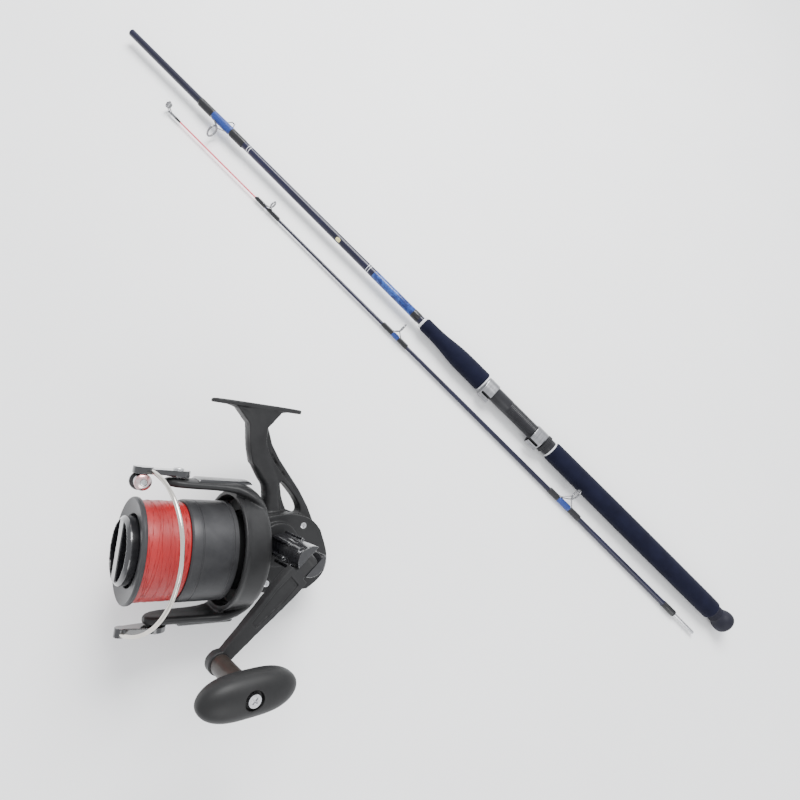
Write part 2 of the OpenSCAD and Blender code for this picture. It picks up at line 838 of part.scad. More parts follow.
module bail_arm() {
    z0 = bail_z;
    color(dark_colour) on_reel() difference() {
        union() {
            translate([pivot_x, 0, z0]) cylinder(h = 4.6, r = 8);
            translate([0, 0, z0 + 1]) linear_extrude(3.6) polygon([
                [pivot_x - 2, -7.6], [roller_x - 2, -3], [roller_x - 2, 9], [pivot_x + 2, 7.6]
            ]);
            translate([roller_x, roller_y, z0 + 1]) cylinder(h = 4.6, r = roller_r + 1.2);
            translate([roller_x, 0, roller_z]) ycyl(ear_y, ear_y + ear_t, roller_r + 1.2);
            translate([roller_x - 3, ear_y, roller_z]) cube([6, ear_t, z0 + 2 - roller_z]);
        }
        translate([pivot_x, 0, 0]) cylinder(h = 80, r = 1.6);
        translate([roller_x, 0, roller_z]) ycyl(ear_y - 1, ear_y + ear_t + 1, 1.3);
    }
}

module roller_screw() {
    head_y = ear_y + ear_t + roller_len + 0.4;
    color(metal_colour) on_reel() translate([roller_x, 0, roller_z]) {
        ycyl(ear_y, head_y + 0.1, 1.3);
        ycyl(head_y, head_y + 1.6, 3.2);
    }
}

// Grooved drum whose axis lies across the arm, so that line from the spool leaves it forwards
module line_roller() {
    wide = roller_r - 0.8;
    deep = roller_r - 1.8;
    color("silver") on_reel() translate([roller_x, ear_y + ear_t + 0.2, roller_z]) rotate([-90, 0, 0])
        rotate_extrude() polygon([
            [1.3 + run_fit, 0], [wide, 0], [wide, 1.6], [deep, 0.45 * roller_len],
            [deep, 0.6 * roller_len], [wide, roller_len - 1.4], [wide, roller_len], [1.3 + run_fit, roller_len]
        ]);
}

// Half circle of wire in the plane through Z, bulging towards +Y, its ends pressed into the bosses
module bail_wire() {
    top = 6;
    bottom = 3.5;
    color(metal_colour) on_reel() translate([pivot_x + 22, 0, 0]) rotate([0, 0, wire_tilt])
        rotate([0, -90, 0]) rotate([0, 0, top]) rotate_extrude(angle = 180 - top - bottom)
        translate([bail_r, 0]) circle(bail_d / 2, $fn = 24);
}

module trip_lever() {
    z0 = bail_z;
    color(dark_colour) on_reel() mirror([0, 0, 1]) difference() {
        union() {
            translate([pivot_x, 0, z0]) cylinder(h = 4, r = 7.6);
            translate([0, 0, z0]) linear_extrude(4) polygon([
                [pivot_x, -7], [lever_end_x, -3.2], [lever_end_x, 3.2], [pivot_x + 2, 7]
            ]);
            translate([lever_end_x, 0, z0]) cylinder(h = 6, r = lever_end_r);
        }
        translate([pivot_x, 0, 0]) cylinder(h = 80, r = 1.6);
    }
}

module bail_screws() {
    tops = [4.6, 4];
    color(metal_colour) on_reel() for (i = [0, 1]) rotate([i * 180, 0, 0]) translate([pivot_x, 0, 0]) {
        translate([0, 0, arm_r - 5]) cylinder(h = bail_z + tops[i] + 0.1 - arm_r + 5, r = 1.55);
        translate([0, 0, bail_z + tops[i]]) cylinder(h = 1.6, r = 3.6);
    }
}

// ---- spool ----

module spool() {
    hub = shaft_d / 2 + run_fit;
    x1 = lip_x;
    color([0.3, 0.3, 0.31]) on_reel() turned([
        [skirt_x, skirt_r - 1.6], [skirt_x, skirt_r], [skirt_x + skirt_len, skirt_r],
        [winding_x, skirt_r - 0.4], [winding_x, core_r], [x1, core_r], [x1, lip_r - 0.6],
        [x1 + 0.8, lip_r], [x1 + 2.4, lip_r], [x1 + 3.4, lip_r - 1.2], [x1 + 2, drag_r + 1.4],
        [x1 - 8, drag_r + 0.8],
        [x1 - 8, drag_stack_r + 1], [x1 - 20, drag_stack_r + 1], [x1 - 20, hub],
        [x1 - 24, hub], [x1 - 24, drag_stack_r + 3], [winding_x - 4, core_r - 2.6],
        [winding_x - 4, skirt_r - 1.6]
    ]);
}

module line_winding() {
    color([0.8, 0.2, 0.2]) on_reel() turned([
        [winding_x + seam, core_r], [winding_x + seam, line_r - 0.4], [winding_x + 2, line_r],
        [lip_x - 2, line_r], [lip_x - seam, line_r - 0.4], [lip_x - seam, core_r]
    ]);
}

module drag_washers() {
    color("silver") on_reel() for (i = [0:4])
        xtube(lip_x - 19.9 + i * 1.8, lip_x - 18.5 + i * 1.8, drag_stack_r, shaft_d / 2 + run_fit);
}

module drag_knob() {
    bar_t = 9;
    x1 = lip_x + 9;
    color(dark_colour) on_reel() difference() {
        turned([
            [lip_x - 7.6, shaft_d / 2 + run_fit], [lip_x - 7.6, drag_r], [x1 - 2, drag_r],
            [x1, drag_r - 2.5], [x1, 0], [lip_x + 3.4, 0], [lip_x + 3.4, shaft_d / 2 + run_fit]
        ]);
        for (side = [-1, 1]) intersection() {
            xcyl(lip_x + 0.5, x1 + 1, drag_r - 2.6);
            translate([0, side > 0 ? bar_t / 2 : -bar_t / 2 - 40, -40]) cube([200, 40, 80]);
        }
    }
}

// ---- handle and drive ----

module drive_gear() {
    teeth = 48;
    y1 = gear_face_y;
    color(metal_colour) on_reel() translate([0, 0, handle_z]) {
        difference() {
            union() {
                ycyl(y1 - 5, y1 - 2, drive_r);
                for (i = [0:teeth - 1]) rotate([0, i * 360 / teeth, 0])
                    translate([12.4, y1 - 2.1, -0.5]) cube([drive_r - 12.5, 1.7, 1]);
            }
            ycyl(y1 - 9, y1, shaft_bearing_r);
        }
        difference() {
            ycyl(osc_y + 0.2, osc_y + 2.4, osc_drive_r);
            ycyl(osc_y, osc_y + 3, shaft_bearing_r);
        }
    }
}

module handle_shaft() {
    slot_w = 8;
    color(dark_colour) on_reel() translate([0, 0, handle_z]) difference() {
        union() {
            rotate([-90, 0, 0]) rotate_extrude() polygon([
                [0, 1.2 - case_left], [shaft_bearing_r, 1.2 - case_left], [shaft_bearing_r, boss_y + 1],
                [9.5, boss_y + 1], [9.5, hinge_y - 13], [10.4, hinge_y - 12], [10.4, hinge_y + 4],
                [0, hinge_y + 4]
            ]);
            for (a = [15:60:315]) rotate([0, a, 0])
                translate([5, boss_y + 3, -1.2]) cube([6.5, hinge_y - boss_y - 20, 2.4]);
        }
        rotate([0, handle_angle, 0]) translate([-12, hinge_y - 8, -slot_w / 2]) cube([30, 20, slot_w]);
        rotate([0, handle_angle, 0]) translate([0, hinge_y, 0]) cylinder(h = 60, r = 2, center = true);
    }
}

module in_arm() {
    on_reel() translate([0, 0, handle_z]) rotate([0, handle_angle, 0]) children();
}

module fold_pin() {
    color(metal_colour) in_arm() translate([0, hinge_y, 0]) cylinder(h = 18, r = 2, center = true);
}

// Arm: tongue in the collar's slot, widening beyond it, then tapering to the spindle boss
module handle_arm() {
    color(body_colour) in_arm() difference() {
        union() {
            translate([0, hinge_y, 0]) cylinder(h = 7.6, r = 4, center = true);
            translate([0, hinge_y - 3.5, -3.8]) cube([14, 7, 7.6]);
            translate([0, hinge_y + 3.5, 0]) rotate([90, 0, 0]) linear_extrude(7) polygon(concat(
                curve([11.2, -8], [24, -9.4], [40, -6], [handle_len - 4, -4], 8),
                curve([handle_len - 4, 4], [40, 6], [24, 9.4], [11.2, 8], 8)
            ));
            translate([handle_len, 0, 0]) ycyl(hinge_y - 3.5, hinge_y + 3.5, 7);
        }
        translate([0, hinge_y, 0]) cylinder(h = 60, r = 2 + run_fit, center = true);
        translate([handle_len, 0, 0]) ycyl(0, 200, 2.5);
        // Long recess in the outer face
        translate([0, hinge_y + 2, 0]) mirror([0, 1, 0]) rotate([90, 0, 0]) linear_extrude(5) polygon([
            [16, -4.6], [30, -4.8], [52, -2.4], [52, 2.4], [30, 4.8], [16, 4.6]
        ]);
    }
}

module knob_spindle() {
    y1 = arm_y + knob_out;
    color([0.25, 0.2, 0.18]) in_arm() translate([handle_len, 0, 0]) {
        ycyl(arm_y - 3.5, y1 + 7, 2.5);
        difference() {
            ycyl(arm_y + 3.5, y1 - knob_t / 2 - 0.4, 6);
            ycyl(0, 200, 2.5);
        }
    }
}

module handle_knob() {
    y1 = arm_y + knob_out;
    bore = 2.5 + run_fit;
    half = knob_t / 2;
    side = knob_len / 2 - half;
    color(body_colour) in_arm() translate([handle_len, 0, 0]) difference() {
        union() {
            translate([0, y1, 0]) rotate([0, knob_turn, 0]) {
                translate([-side, 0, 0]) xcyl(0, 2 * side, half);
                for (x = [-side, side]) translate([x, 0, 0]) sphere(half);
            }
        }
        ycyl(0, y1 + 8, bore);
        ycyl(y1 + 6.8, y1 + 40, 4.4);
        ycyl(0, y1 - half + 1.6, 6.4);
    }
}

module knob_screw() {
    y1 = arm_y + knob_out;
    color("silver") in_arm() translate([handle_len, 0, 0]) difference() {
        ycyl(y1 + 7.02, y1 + 10, 3.6);
        for (a = [0, 90]) rotate([0, a, 0]) translate([-2, y1 + 8.8, -0.4]) cube([4, 3, 0.8]);
    }
}

butt_blank();
accent_band();
winding_check();
foregrip();
seat_tube();
fixed_hood();
trim_rings();
butt_grip();
butt_cap();
butt_guide_frame();
butt_guide_ring();
butt_wraps();
butt_accent_wrap();
keeper_loop();
sliding_hood();
lock_nut();
tip_blank();
red_tip();
spigot();
spigot_collar();
tip_top();
guide_1_frame();
guide_2_frame();
guide_3_frame();
tip_guide_rings();
tip_wraps();
tip_accent_wraps();
reel_body();
side_cover();
body_screws();
bearing_cap();
pinion_bearing();
one_way_clutch();
gear_bearings();
anti_reverse_lever();
slider_rod();
oscillation_gear();
oscillation_slider();
main_shaft();
pinion_gear();
rotor();
rotor_nut();
arm_covers();
bail_arm();
bail_wire();
trip_lever();
bail_screws();
roller_screw();
line_roller();
spool();
line_winding();
drag_knob();
drag_washers();
drive_gear();
handle_shaft();
fold_pin();
handle_arm();
knob_spindle();
handle_knob();
knob_screw();
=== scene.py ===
# A two-piece spinning rod, taken apart, with its front-drag spinning reel lying beside it.
# Metres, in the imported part's own frame: the rod lies along X, the butt towards +X.
import json
import math
import random

import bmesh
import bpy
from mathutils import Matrix, Vector


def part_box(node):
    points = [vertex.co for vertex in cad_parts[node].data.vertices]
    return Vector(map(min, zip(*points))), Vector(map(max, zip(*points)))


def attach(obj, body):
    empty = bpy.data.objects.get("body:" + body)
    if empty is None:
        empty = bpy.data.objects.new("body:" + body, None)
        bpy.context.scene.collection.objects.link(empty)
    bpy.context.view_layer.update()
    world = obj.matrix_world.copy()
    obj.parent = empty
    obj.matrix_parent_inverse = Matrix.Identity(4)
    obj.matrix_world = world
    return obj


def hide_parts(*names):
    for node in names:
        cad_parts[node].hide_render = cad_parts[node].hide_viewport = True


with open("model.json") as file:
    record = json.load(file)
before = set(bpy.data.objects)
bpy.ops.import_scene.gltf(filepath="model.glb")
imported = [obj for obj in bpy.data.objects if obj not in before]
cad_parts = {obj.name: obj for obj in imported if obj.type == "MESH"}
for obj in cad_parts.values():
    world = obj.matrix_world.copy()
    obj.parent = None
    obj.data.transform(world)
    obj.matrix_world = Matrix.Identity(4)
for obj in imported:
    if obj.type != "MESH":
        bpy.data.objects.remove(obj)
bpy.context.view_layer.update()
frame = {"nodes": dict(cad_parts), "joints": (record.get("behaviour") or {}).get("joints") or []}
MM = 0.001


# ---- Butt blank ----
# The blank is a rolled glass-fibre tube, tapering from the foregrip to the ferrule, ground and
# finished in dark navy lacquer under a thick clear coat. The spigot of the tip section plugs
# into its open end. Two fine trim bands and a small pale oval are painted under the coat.

blank_low, blank_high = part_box("butt_blank")
butt_axis = Vector((0, (blank_low.y + blank_high.y) / 2, (blank_low.z + blank_high.z) / 2))
ferrule_x = blank_low.x
foregrip_low, foregrip_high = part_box("foregrip")
blank_end_r = (blank_high.z - blank_low.z) / 2
ferrule_r = 3.5 * MM


def ramp(a, b, t):
    return a + (b - a) * t


def curve_points(p, q, r, s, count):
    """Points of a cubic curve in a flat outline, ends included."""
    out = []
    for i in range(count + 1):
        t = i / count
        u = 1 - t
        out.append(tuple(
            u * u * u * p[k] + 3 * u * u * t * q[k] + 3 * u * t * t * r[k] + t * t * t * s[k]
            for k in (0, 1)))
    return out


def spun(profile, steps=64):
    """A bmesh of (distance, radius) points turned a full round about X."""
    bm = bmesh.new()
    verts = [bm.verts.new((x, 0, r)) for x, r in profile]
    edges = [bm.edges.new(pair) for pair in zip(verts, verts[1:])]
    bmesh.ops.spin(bm, geom=verts + edges, cent=(0, 0, 0), axis=(1, 0, 0), dvec=(0, 0, 0),
                   angle=2 * math.pi, steps=steps, use_merge=True)
    bmesh.ops.remove_doubles(bm, verts=bm.verts, dist=1e-7)
    bmesh.ops.recalc_face_normals(bm, faces=bm.faces)
    return bm


def closed(profile):
    """The profile with its first point repeated, so that the spun solid has no open end."""
    return profile + profile[:1]


def piece(name, bm, body, material, replaces=(), smooth_angle=35, place=None):
    """Makes a finished object of a bmesh: placed, shaded, given its material, ridden and named."""
    if place is not None:
        bmesh.ops.transform(bm, matrix=place, verts=bm.verts)
    mesh = bpy.data.meshes.new(name)
    bm.to_mesh(mesh)
    bm.free()
    obj = bpy.data.objects.new(name, mesh)
    bpy.context.scene.collection.objects.link(obj)
    mesh.shade_smooth()
    mesh.set_sharp_from_angle(angle=math.radians(smooth_angle))
    mesh.materials.append(material)
    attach(obj, body)
    if replaces:
        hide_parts(*replaces)
    return obj


def finish_of(name, rough, metallic=0.0, coat=0.0, coat_rough=0.05, ior=1.5):
    """A new node material with its uniform values set on the shader, and its parts to build on."""
    mat = bpy.data.materials.new(name)
    mat.use_nodes = True
    tree = mat.node_tree
    shader = tree.nodes["Principled BSDF"]
    shader.inputs["Roughness"].default_value = rough
    shader.inputs["Metallic"].default_value = metallic
    shader.inputs["Coat Weight"].default_value = coat
    shader.inputs["Coat Roughness"].default_value = coat_rough
    shader.inputs["IOR"].default_value = ior
    coords = tree.nodes.new("ShaderNodeTexCoord")
    return mat, tree, shader, coords.outputs["Object"]


def noise(tree, coords, scale, detail=4, rough=0.55):
    node = tree.nodes.new("ShaderNodeTexNoise")
    node.inputs["Scale"].default_value = scale
    node.inputs["Detail"].default_value = detail
    node.inputs["Roughness"].default_value = rough
    tree.links.new(coords, node.inputs["Vector"])
    return node.outputs["Fac"]


def colours(tree, fac, stops):
    """A colour ramp over fac; stops are (place, red, green, blue)."""
    node = tree.nodes.new("ShaderNodeValToRGB")
    ends = node.color_ramp.elements
    while len(ends) < len(stops):
        ends.new(0.5)
    for end, stop in zip(ends, stops):
        end.position = stop[0]
        end.color = (*stop[1:], 1)
    tree.links.new(fac, node.inputs["Fac"])
    return node.outputs["Color"]


def tint(tree, shader, fac, stops):
    """Colours the surface by fac."""
    tree.links.new(colours(tree, fac, stops), shader.inputs["Base Color"])


def spread(tree, fac, low, high):
    """fac mapped from 0..1 to low..high."""
    node = tree.nodes.new("ShaderNodeMapRange")
    node.inputs["To Min"].default_value = low
    node.inputs["To Max"].default_value = high
    tree.links.new(fac, node.inputs["Value"])
    return node.outputs["Result"]


def wear(tree, shader, fac, low, high):
    """Varies the roughness from low to high with fac."""
    tree.links.new(spread(tree, fac, low, high), shader.inputs["Roughness"])


def bump(tree, shader, height, strength, distance):
    node = tree.nodes.new("ShaderNodeBump")
    node.inputs["Strength"].default_value = strength
    node.inputs["Distance"].default_value = distance
    tree.links.new(height, node.inputs["Height"])
    tree.links.new(node.outputs["Normal"], shader.inputs["Normal"])


def lacquered_blank():
    mat, tree, shader, coords = finish_of("lacquered_blank", 0.34, coat=0.35, coat_rough=0.06)
    shader.inputs["Specular IOR Level"].default_value = 0.25
    flake = noise(tree, coords, 900, 2)
    cloud = noise(tree, coords, 18, 3)
    tint(tree, shader, cloud, [(0.3, 0.002, 0.002, 0.012), (0.7, 0.005, 0.005, 0.028)])
    wear(tree, shader, flake, 0.26, 0.42)
    bump(tree, shader, noise(tree, coords, 420, 2), 0.08, 0.0001)
    return mat


BLANK = lacquered_blank()


def finish_kept(node, material):
    """Gives a solid that stays as it is its material."""
    mesh = frame["nodes"][node].data
    mesh.materials.clear()
    mesh.materials.append(material)


def butt_radius(x):
    """Radius of the butt blank at x."""
    t = (x - ferrule_x) / (foregrip_low.x - ferrule_x)
    return ramp(ferrule_r, blank_end_r, min(1, max(0, t)))


def on_butt(bm):
    bmesh.ops.translate(bm, verts=bm.verts, vec=butt_axis)
    return bm


def make_butt_blank():
    bore = 1.74 * MM
    depth = 39 * MM
    end = blank_high.x
    stations = [ferrule_x + 0.4 * MM] + [ramp(ferrule_x, end, i / 24) for i in range(1, 25)]
    profile = [(ferrule_x + depth, 0), (ferrule_x + depth, bore), (ferrule_x, bore),
               (ferrule_x, ferrule_r - 0.4 * MM)]
    profile += [(x, butt_radius(x)) for x in stations] + [(end, 0)]
    piece("butt_blank_lacquered", on_butt(spun(profile)), "butt_section", BLANK, ["butt_blank"])


make_butt_blank()


# ---- Painted trim on the butt blank ----
# Fine rings of silver paint frame the plain stretch of blank ahead of the grip, with one small
# pale oval between them. All of it lies under the clear coat, a few hundredths thick.

def gloss_paint(name, low, high, rough=0.3):
    mat, tree, shader, coords = finish_of(name, rough, coat=0.9, coat_rough=0.08)
    fac = noise(tree, coords, 260, 3)
    tint(tree, shader, fac, [(0.3, *low), (0.7, *high)])
    bump(tree, shader, noise(tree, coords, 700, 2), 0.06, 0.0001)
    return mat


SILVER_PAINT = gloss_paint("silver_paint", (0.42, 0.43, 0.46), (0.55, 0.56, 0.6))
PALE_PAINT = gloss_paint("pale_paint", (0.62, 0.55, 0.22), (0.72, 0.66, 0.32))


def skin(x0, x1, height, radius=butt_radius):
    """Profile of a thin sleeve that follows the taper from x0 to x1."""
    return closed([(x0, radius(x0) - 0.05 * MM), (x0, radius(x0) + height * 0.6),
                   (x0 + height, radius(x0) + height), (x1 - height, radius(x1) + height),
                   (x1, radius(x1) + height * 0.6), (x1, radius(x1) - 0.05 * MM)])


def make_trim_paint():
    for i, s in enumerate((166, 168.5, 335, 337.5)):
        x = ferrule_x + s * MM
        bm = spun(skin(x, x + 0.8 * MM, 0.04 * MM))
        piece(f"trim_line_{i}", on_butt(bm), "butt_section", SILVER_PAINT)
    bm = bmesh.new()
    bmesh.ops.create_uvsphere(bm, u_segments=32, v_segments=12, radius=1)
    bmesh.ops.scale(bm, vec=(3.2 * MM, 2.0 * MM, 0.5 * MM), verts=bm.verts)
    lean = Matrix.Rotation(math.radians(52), 4, "X")
    x = ferrule_x + 295 * MM
    place = Matrix.Translation(butt_axis + Vector((x, 0, 0))) @ lean
    place = place @ Matrix.Translation((0, 0, butt_radius(x) - 0.25 * MM))
    piece("pale_oval", bm, "butt_section", PALE_PAINT, place=place)


make_trim_paint()


# ---- Marbled accent band ----
# A sleeve of blue marbled foil ahead of the winding check, under clear coat, closed towards the
# grip by a dark band.

def marbled_foil():
    mat, tree, shader, coords = finish_of("marbled_foil", 0.3, coat=0.35, coat_rough=0.05)
    shader.inputs["Specular IOR Level"].default_value = 0.25
    swirl = noise(tree, coords, 160, 8, 0.7)
    stops = [(0.3, 0.004, 0.008, 0.04), (0.48, 0.010, 0.03, 0.16), (0.6, 0.03, 0.09, 0.34),
             (0.72, 0.01, 0.03, 0.12)]
    tint(tree, shader, swirl, stops)
    wear(tree, shader, swirl, 0.2, 0.4)
    bump(tree, shader, swirl, 0.15, 0.0001)
    return mat


def make_accent_band():
    low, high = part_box("accent_band")
    bm = on_butt(spun(skin(low.x, high.x, 0.16 * MM)))
    piece("accent_band_foil", bm, "butt_section", marbled_foil(), ["accent_band"])
    bm = on_butt(spun(skin(high.x, high.x + 9 * MM, 0.3 * MM)))
    piece("dark_end_band", bm, "butt_section", THREAD_BLACK)


def wound_thread(name, low, high):
    """Fine nylon thread wound in close turns along X and flooded with clear epoxy."""
    mat, tree, shader, coords = finish_of(name, 0.3, coat=0.35, coat_rough=0.07)
    shader.inputs["Specular IOR Level"].default_value = 0.25
    turns = tree.nodes.new("ShaderNodeTexWave")
    turns.bands_direction = "X"
    turns.inputs["Scale"].default_value = 900
    turns.inputs["Distortion"].default_value = 0.6
    turns.inputs["Detail"].default_value = 1
    tree.links.new(coords, turns.inputs["Vector"])
    tint(tree, shader, turns.outputs["Fac"], [(0.1, *low), (0.8, *high)])
    bump(tree, shader, turns.outputs["Fac"], 0.35, 0.00012)
    return mat


THREAD_BLACK = wound_thread("wound_thread_black", (0.003, 0.003, 0.004), (0.012, 0.012, 0.015))
THREAD_BLUE = wound_thread("wound_thread_blue", (0.006, 0.018, 0.10), (0.02, 0.06, 0.30))

make_accent_band()


# ---- Foam grips ----
# Foregrip and butt grip are turned from closed-cell foam, dark navy, then sanded: a matt skin
# with fine open cells. Both are glued on the blank, their ends lightly rounded.

def closed_cell_foam():
    mat, tree, shader, coords = finish_of("closed_cell_foam", 0.82)
    shader.inputs["Specular IOR Level"].default_value = 0.08
    shader.inputs["Sheen Weight"].default_value = 0.05
    shader.inputs["Sheen Roughness"].default_value = 0.5
    cells = tree.nodes.new("ShaderNodeTexVoronoi")
    cells.inputs["Scale"].default_value = 1500
    tree.links.new(coords, cells.inputs["Vector"])
    patch = noise(tree, coords, 70, 5)
    grain = noise(tree, coords, 900, 3)
    tint(tree, shader, patch, [(0.25, 0.0035, 0.004, 0.012), (0.75, 0.007, 0.008, 0.022)])
    wear(tree, shader, grain, 0.7, 0.95)
    bump(tree, shader, cells.outputs["Distance"], 0.45, 0.00015)
    return mat


FOAM = closed_cell_foam()


def rounded_end(x, r, corner, facing):
    """Quarter round at a turned end; facing is -1 at the low end and +1 at the high end."""
    turns = [i / 6 * math.pi / 2 for i in range(7)]
    points = [(x - facing * corner * (1 - math.cos(a)), r - corner + corner * math.sin(a))
              for a in turns]
    return points if facing < 0 else points[::-1]


def make_grips():
    low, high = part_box("foregrip")
    grip_r = (high.z - low.z) / 2
    nose_r = 7.2 * MM
    length = high.x - low.x
    body = curve_points((low.x + 0.10 * length, nose_r), (low.x + 0.42 * length, nose_r),
                        (low.x + 0.42 * length, grip_r), (low.x + 0.72 * length, grip_r), 20)
    profile = [(low.x, blank_end_r)] + rounded_end(low.x, nose_r, 2.2 * MM, -1) + body
    profile += rounded_end(high.x, grip_r, 1.8 * MM, 1) + [(high.x, blank_end_r)]
    piece("foregrip_foam", on_butt(spun(closed(profile), 80)), "butt_section", FOAM, ["foregrip"])
    low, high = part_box("butt_grip")
    stations = [(ramp(low.x, high.x, i / 20), grip_r - 0.12 * MM * math.cos(i / 20 * 2 * math.pi))
                for i in range(1, 20)]
    profile = [(low.x, blank_end_r)] + rounded_end(low.x, grip_r - 0.2 * MM, 2.0 * MM, -1) + stations
    profile += rounded_end(high.x, grip_r - 0.3 * MM, 1.6 * MM, 1) + [(high.x, blank_end_r)]
    piece("butt_grip_foam", on_butt(spun(closed(profile), 80)), "butt_section", FOAM, ["butt_grip"])


make_grips()


# ---- Winding check and trim rings ----
# Moulded white rings close the ends of the grips and hide the glue. Each has two fine turned
# grooves and a soft edge.

def ivory_plastic():
    mat, tree, shader, coords = finish_of("white_moulding", 0.35, coat=0.4, coat_rough=0.12)
    fac = noise(tree, coords, 120, 4)
    tint(tree, shader, fac, [(0.3, 0.62, 0.62, 0.64), (0.7, 0.74, 0.74, 0.75)])
    bump(tree, shader, noise(tree, coords, 1100, 2), 0.08, 0.00008)
    return mat


def grooved_ring(x0, x1, bore, r):
    """Profile of a ring with a round edge and a groove round its middle."""
    mid = (x0 + x1) / 2
    edge = 0.35 * MM
    return closed([(x0, bore), (x0, r - edge), (x0 + edge * 0.4, r - edge * 0.3), (x0 + edge, r),
                   (mid - 0.3 * MM, r), (mid - 0.15 * MM, r - 0.3 * MM), (mid + 0.15 * MM, r - 0.3 * MM),
                   (mid + 0.3 * MM, r), (x1 - edge, r), (x1 - edge * 0.4, r - edge * 0.3),
                   (x1, r - edge), (x1, bore)])


def make_trim_rings():
    white = ivory_plastic()
    low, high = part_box("winding_check")
    bm = on_butt(spun(grooved_ring(low.x, high.x, blank_end_r, (high.z - low.z) / 2)))
    piece("winding_check_ring", bm, "butt_section", white, ["winding_check"])
    low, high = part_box("trim_rings")
    width = 1.6 * MM
    front = on_butt(spun(grooved_ring(low.x, low.x + width, blank_end_r, 9 * MM)))
    piece("front_trim_ring", front, "butt_section", white)
    rear = on_butt(spun(grooved_ring(high.x - width, high.x, blank_end_r, 8.8 * MM)))
    piece("rear_trim_ring", rear, "butt_section", white, ["trim_rings"])


make_trim_rings()


# ---- Butt cap ----
# A moulded rubber cap glued over the end of the blank: a waisted neck, a flared rim and a
# shallow crown, with four mould grooves round the neck.

def moulded_rubber():
    mat, tree, shader, coords = finish_of("moulded_rubber", 0.6)
    shader.inputs["Specular IOR Level"].default_value = 0.25
    fac = noise(tree, coords, 90, 5)
    tint(tree, shader, fac, [(0.3, 0.005, 0.005, 0.011), (0.7, 0.010, 0.010, 0.020)])
    wear(tree, shader, fac, 0.48, 0.7)
    bump(tree, shader, noise(tree, coords, 1600, 2), 0.2, 0.0001)
    return mat


RUBBER = moulded_rubber()


def make_butt_cap():
    low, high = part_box("butt_cap")
    x0 = low.x
    length = high.x - low.x
    flare = (high.z - low.z) / 2
    neck = 8.3 * MM
    profile = [(x0 + 6 * MM, 0), (x0 + 6 * MM, blank_end_r), (x0, blank_end_r), (x0, neck)]
    for i in range(4):
        g = x0 + (1.2 + 1.3 * i) * MM
        profile += [(g, neck), (g + 0.2 * MM, neck - 0.35 * MM), (g + 0.5 * MM, neck - 0.35 * MM),
                    (g + 0.7 * MM, neck)]
    profile += curve_points((x0 + 0.28 * length, neck), (x0 + 0.42 * length, neck + 0.2 * MM),
                            (x0 + 0.46 * length, flare), (x0 + 0.68 * length, flare), 12)
    profile += curve_points((x0 + 0.72 * length, flare), (x0 + 0.9 * length, flare - 0.2 * MM),
                            (x0 + 0.99 * length, flare - 4 * MM), (high.x, 0), 14)
    piece("butt_cap_rubber", on_butt(spun(profile, 80)), "butt_section", RUBBER, ["butt_cap"])


make_butt_cap()


# ---- Reel seat tube ----
# Moulded glass-filled nylon, satin black, glued over the blank. Its rear carries the moulded
# thread of the lock nut, and the front is plain.

def satin_moulding(name, low, high, rough_low=0.38, rough_high=0.52, grain=0.12):
    """Injection-moulded plastic: fine spark-eroded grain, soft cloudy sheen."""
    mat, tree, shader, coords = finish_of(name, 0.45)
    shader.inputs["Specular IOR Level"].default_value = 0.22
    cloud = noise(tree, coords, 45, 4)
    grit = noise(tree, coords, 1900, 2)
    tint(tree, shader, cloud, [(0.3, *low), (0.7, *high)])
    wear(tree, shader, cloud, rough_low, rough_high)
    bump(tree, shader, grit, grain, 0.0001)
    return mat


SEAT_PLASTIC = satin_moulding("seat_moulding", (0.012, 0.012, 0.014), (0.024, 0.024, 0.027), 0.3, 0.42)


def make_seat_tube():
    low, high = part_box("seat_tube")
    r = (high.z - low.z) / 2
    pitch = 1.5 * MM
    thread_from = low.x + 34 * MM
    count = int((high.x - thread_from) / pitch)
    profile = [(low.x, blank_end_r), (low.x, r), (thread_from - 1 * MM, r)]
    for i in range(count):
        x = thread_from + i * pitch
        profile += [(x, r - 0.45 * MM), (x + 0.45 * pitch, r - 0.02 * MM), (x + 0.6 * pitch, r - 0.02 * MM)]
    profile += [(high.x, r - 0.45 * MM), (high.x, blank_end_r)]
    piece("seat_tube_threaded", on_butt(spun(closed(profile), 80)), "butt_section", SEAT_PLASTIC,
          ["seat_tube"])


make_seat_tube()


# ---- Hoods ----
# The fixed and the sliding hood are brushed aluminium pressings, round with a raised pocket that
# takes one end of the reel foot. The part's own solids are the true shape, softened at the edges.

def brushed_aluminium():
    mat, tree, shader, coords = finish_of("brushed_aluminium", 0.32, metallic=1.0)
    mapping = tree.nodes.new("ShaderNodeMapping")
    mapping.inputs["Scale"].default_value = (2600, 60, 60)
    tree.links.new(coords, mapping.inputs["Vector"])
    brush = noise(tree, mapping.outputs["Vector"], 1, 3)
    tint(tree, shader, brush, [(0.3, 0.22, 0.22, 0.23), (0.7, 0.38, 0.38, 0.395)])
    wear(tree, shader, brush, 0.24, 0.42)
    bump(tree, shader, brush, 0.12, 0.00006)
    return mat


ALUMINIUM = brushed_aluminium()


def melted(bm, voxel, rounds):
    """bm remeshed as one skin of small even faces, its edges eased as a moulding's are."""
    mesh = bpy.data.meshes.new("rough")
    bmesh.ops.remove_doubles(bm, verts=bm.verts, dist=1e-6)
    bm.to_mesh(mesh)
    bm.free()
    obj = bpy.data.objects.new("rough", mesh)
    bpy.context.scene.collection.objects.link(obj)
    remesh = obj.modifiers.new("even_faces", "REMESH")
    remesh.mode = "VOXEL"
    remesh.voxel_size = voxel
    ease = obj.modifiers.new("eased", "SMOOTH")
    ease.factor = 0.5
    ease.iterations = rounds
    view = bpy.context.evaluated_depsgraph_get()
    even = bpy.data.meshes.new_from_object(obj.evaluated_get(view))
    bpy.data.objects.remove(obj)
    bpy.data.meshes.remove(mesh)
    out = bmesh.new()
    out.from_mesh(even)
    bpy.data.meshes.remove(even)
    return out


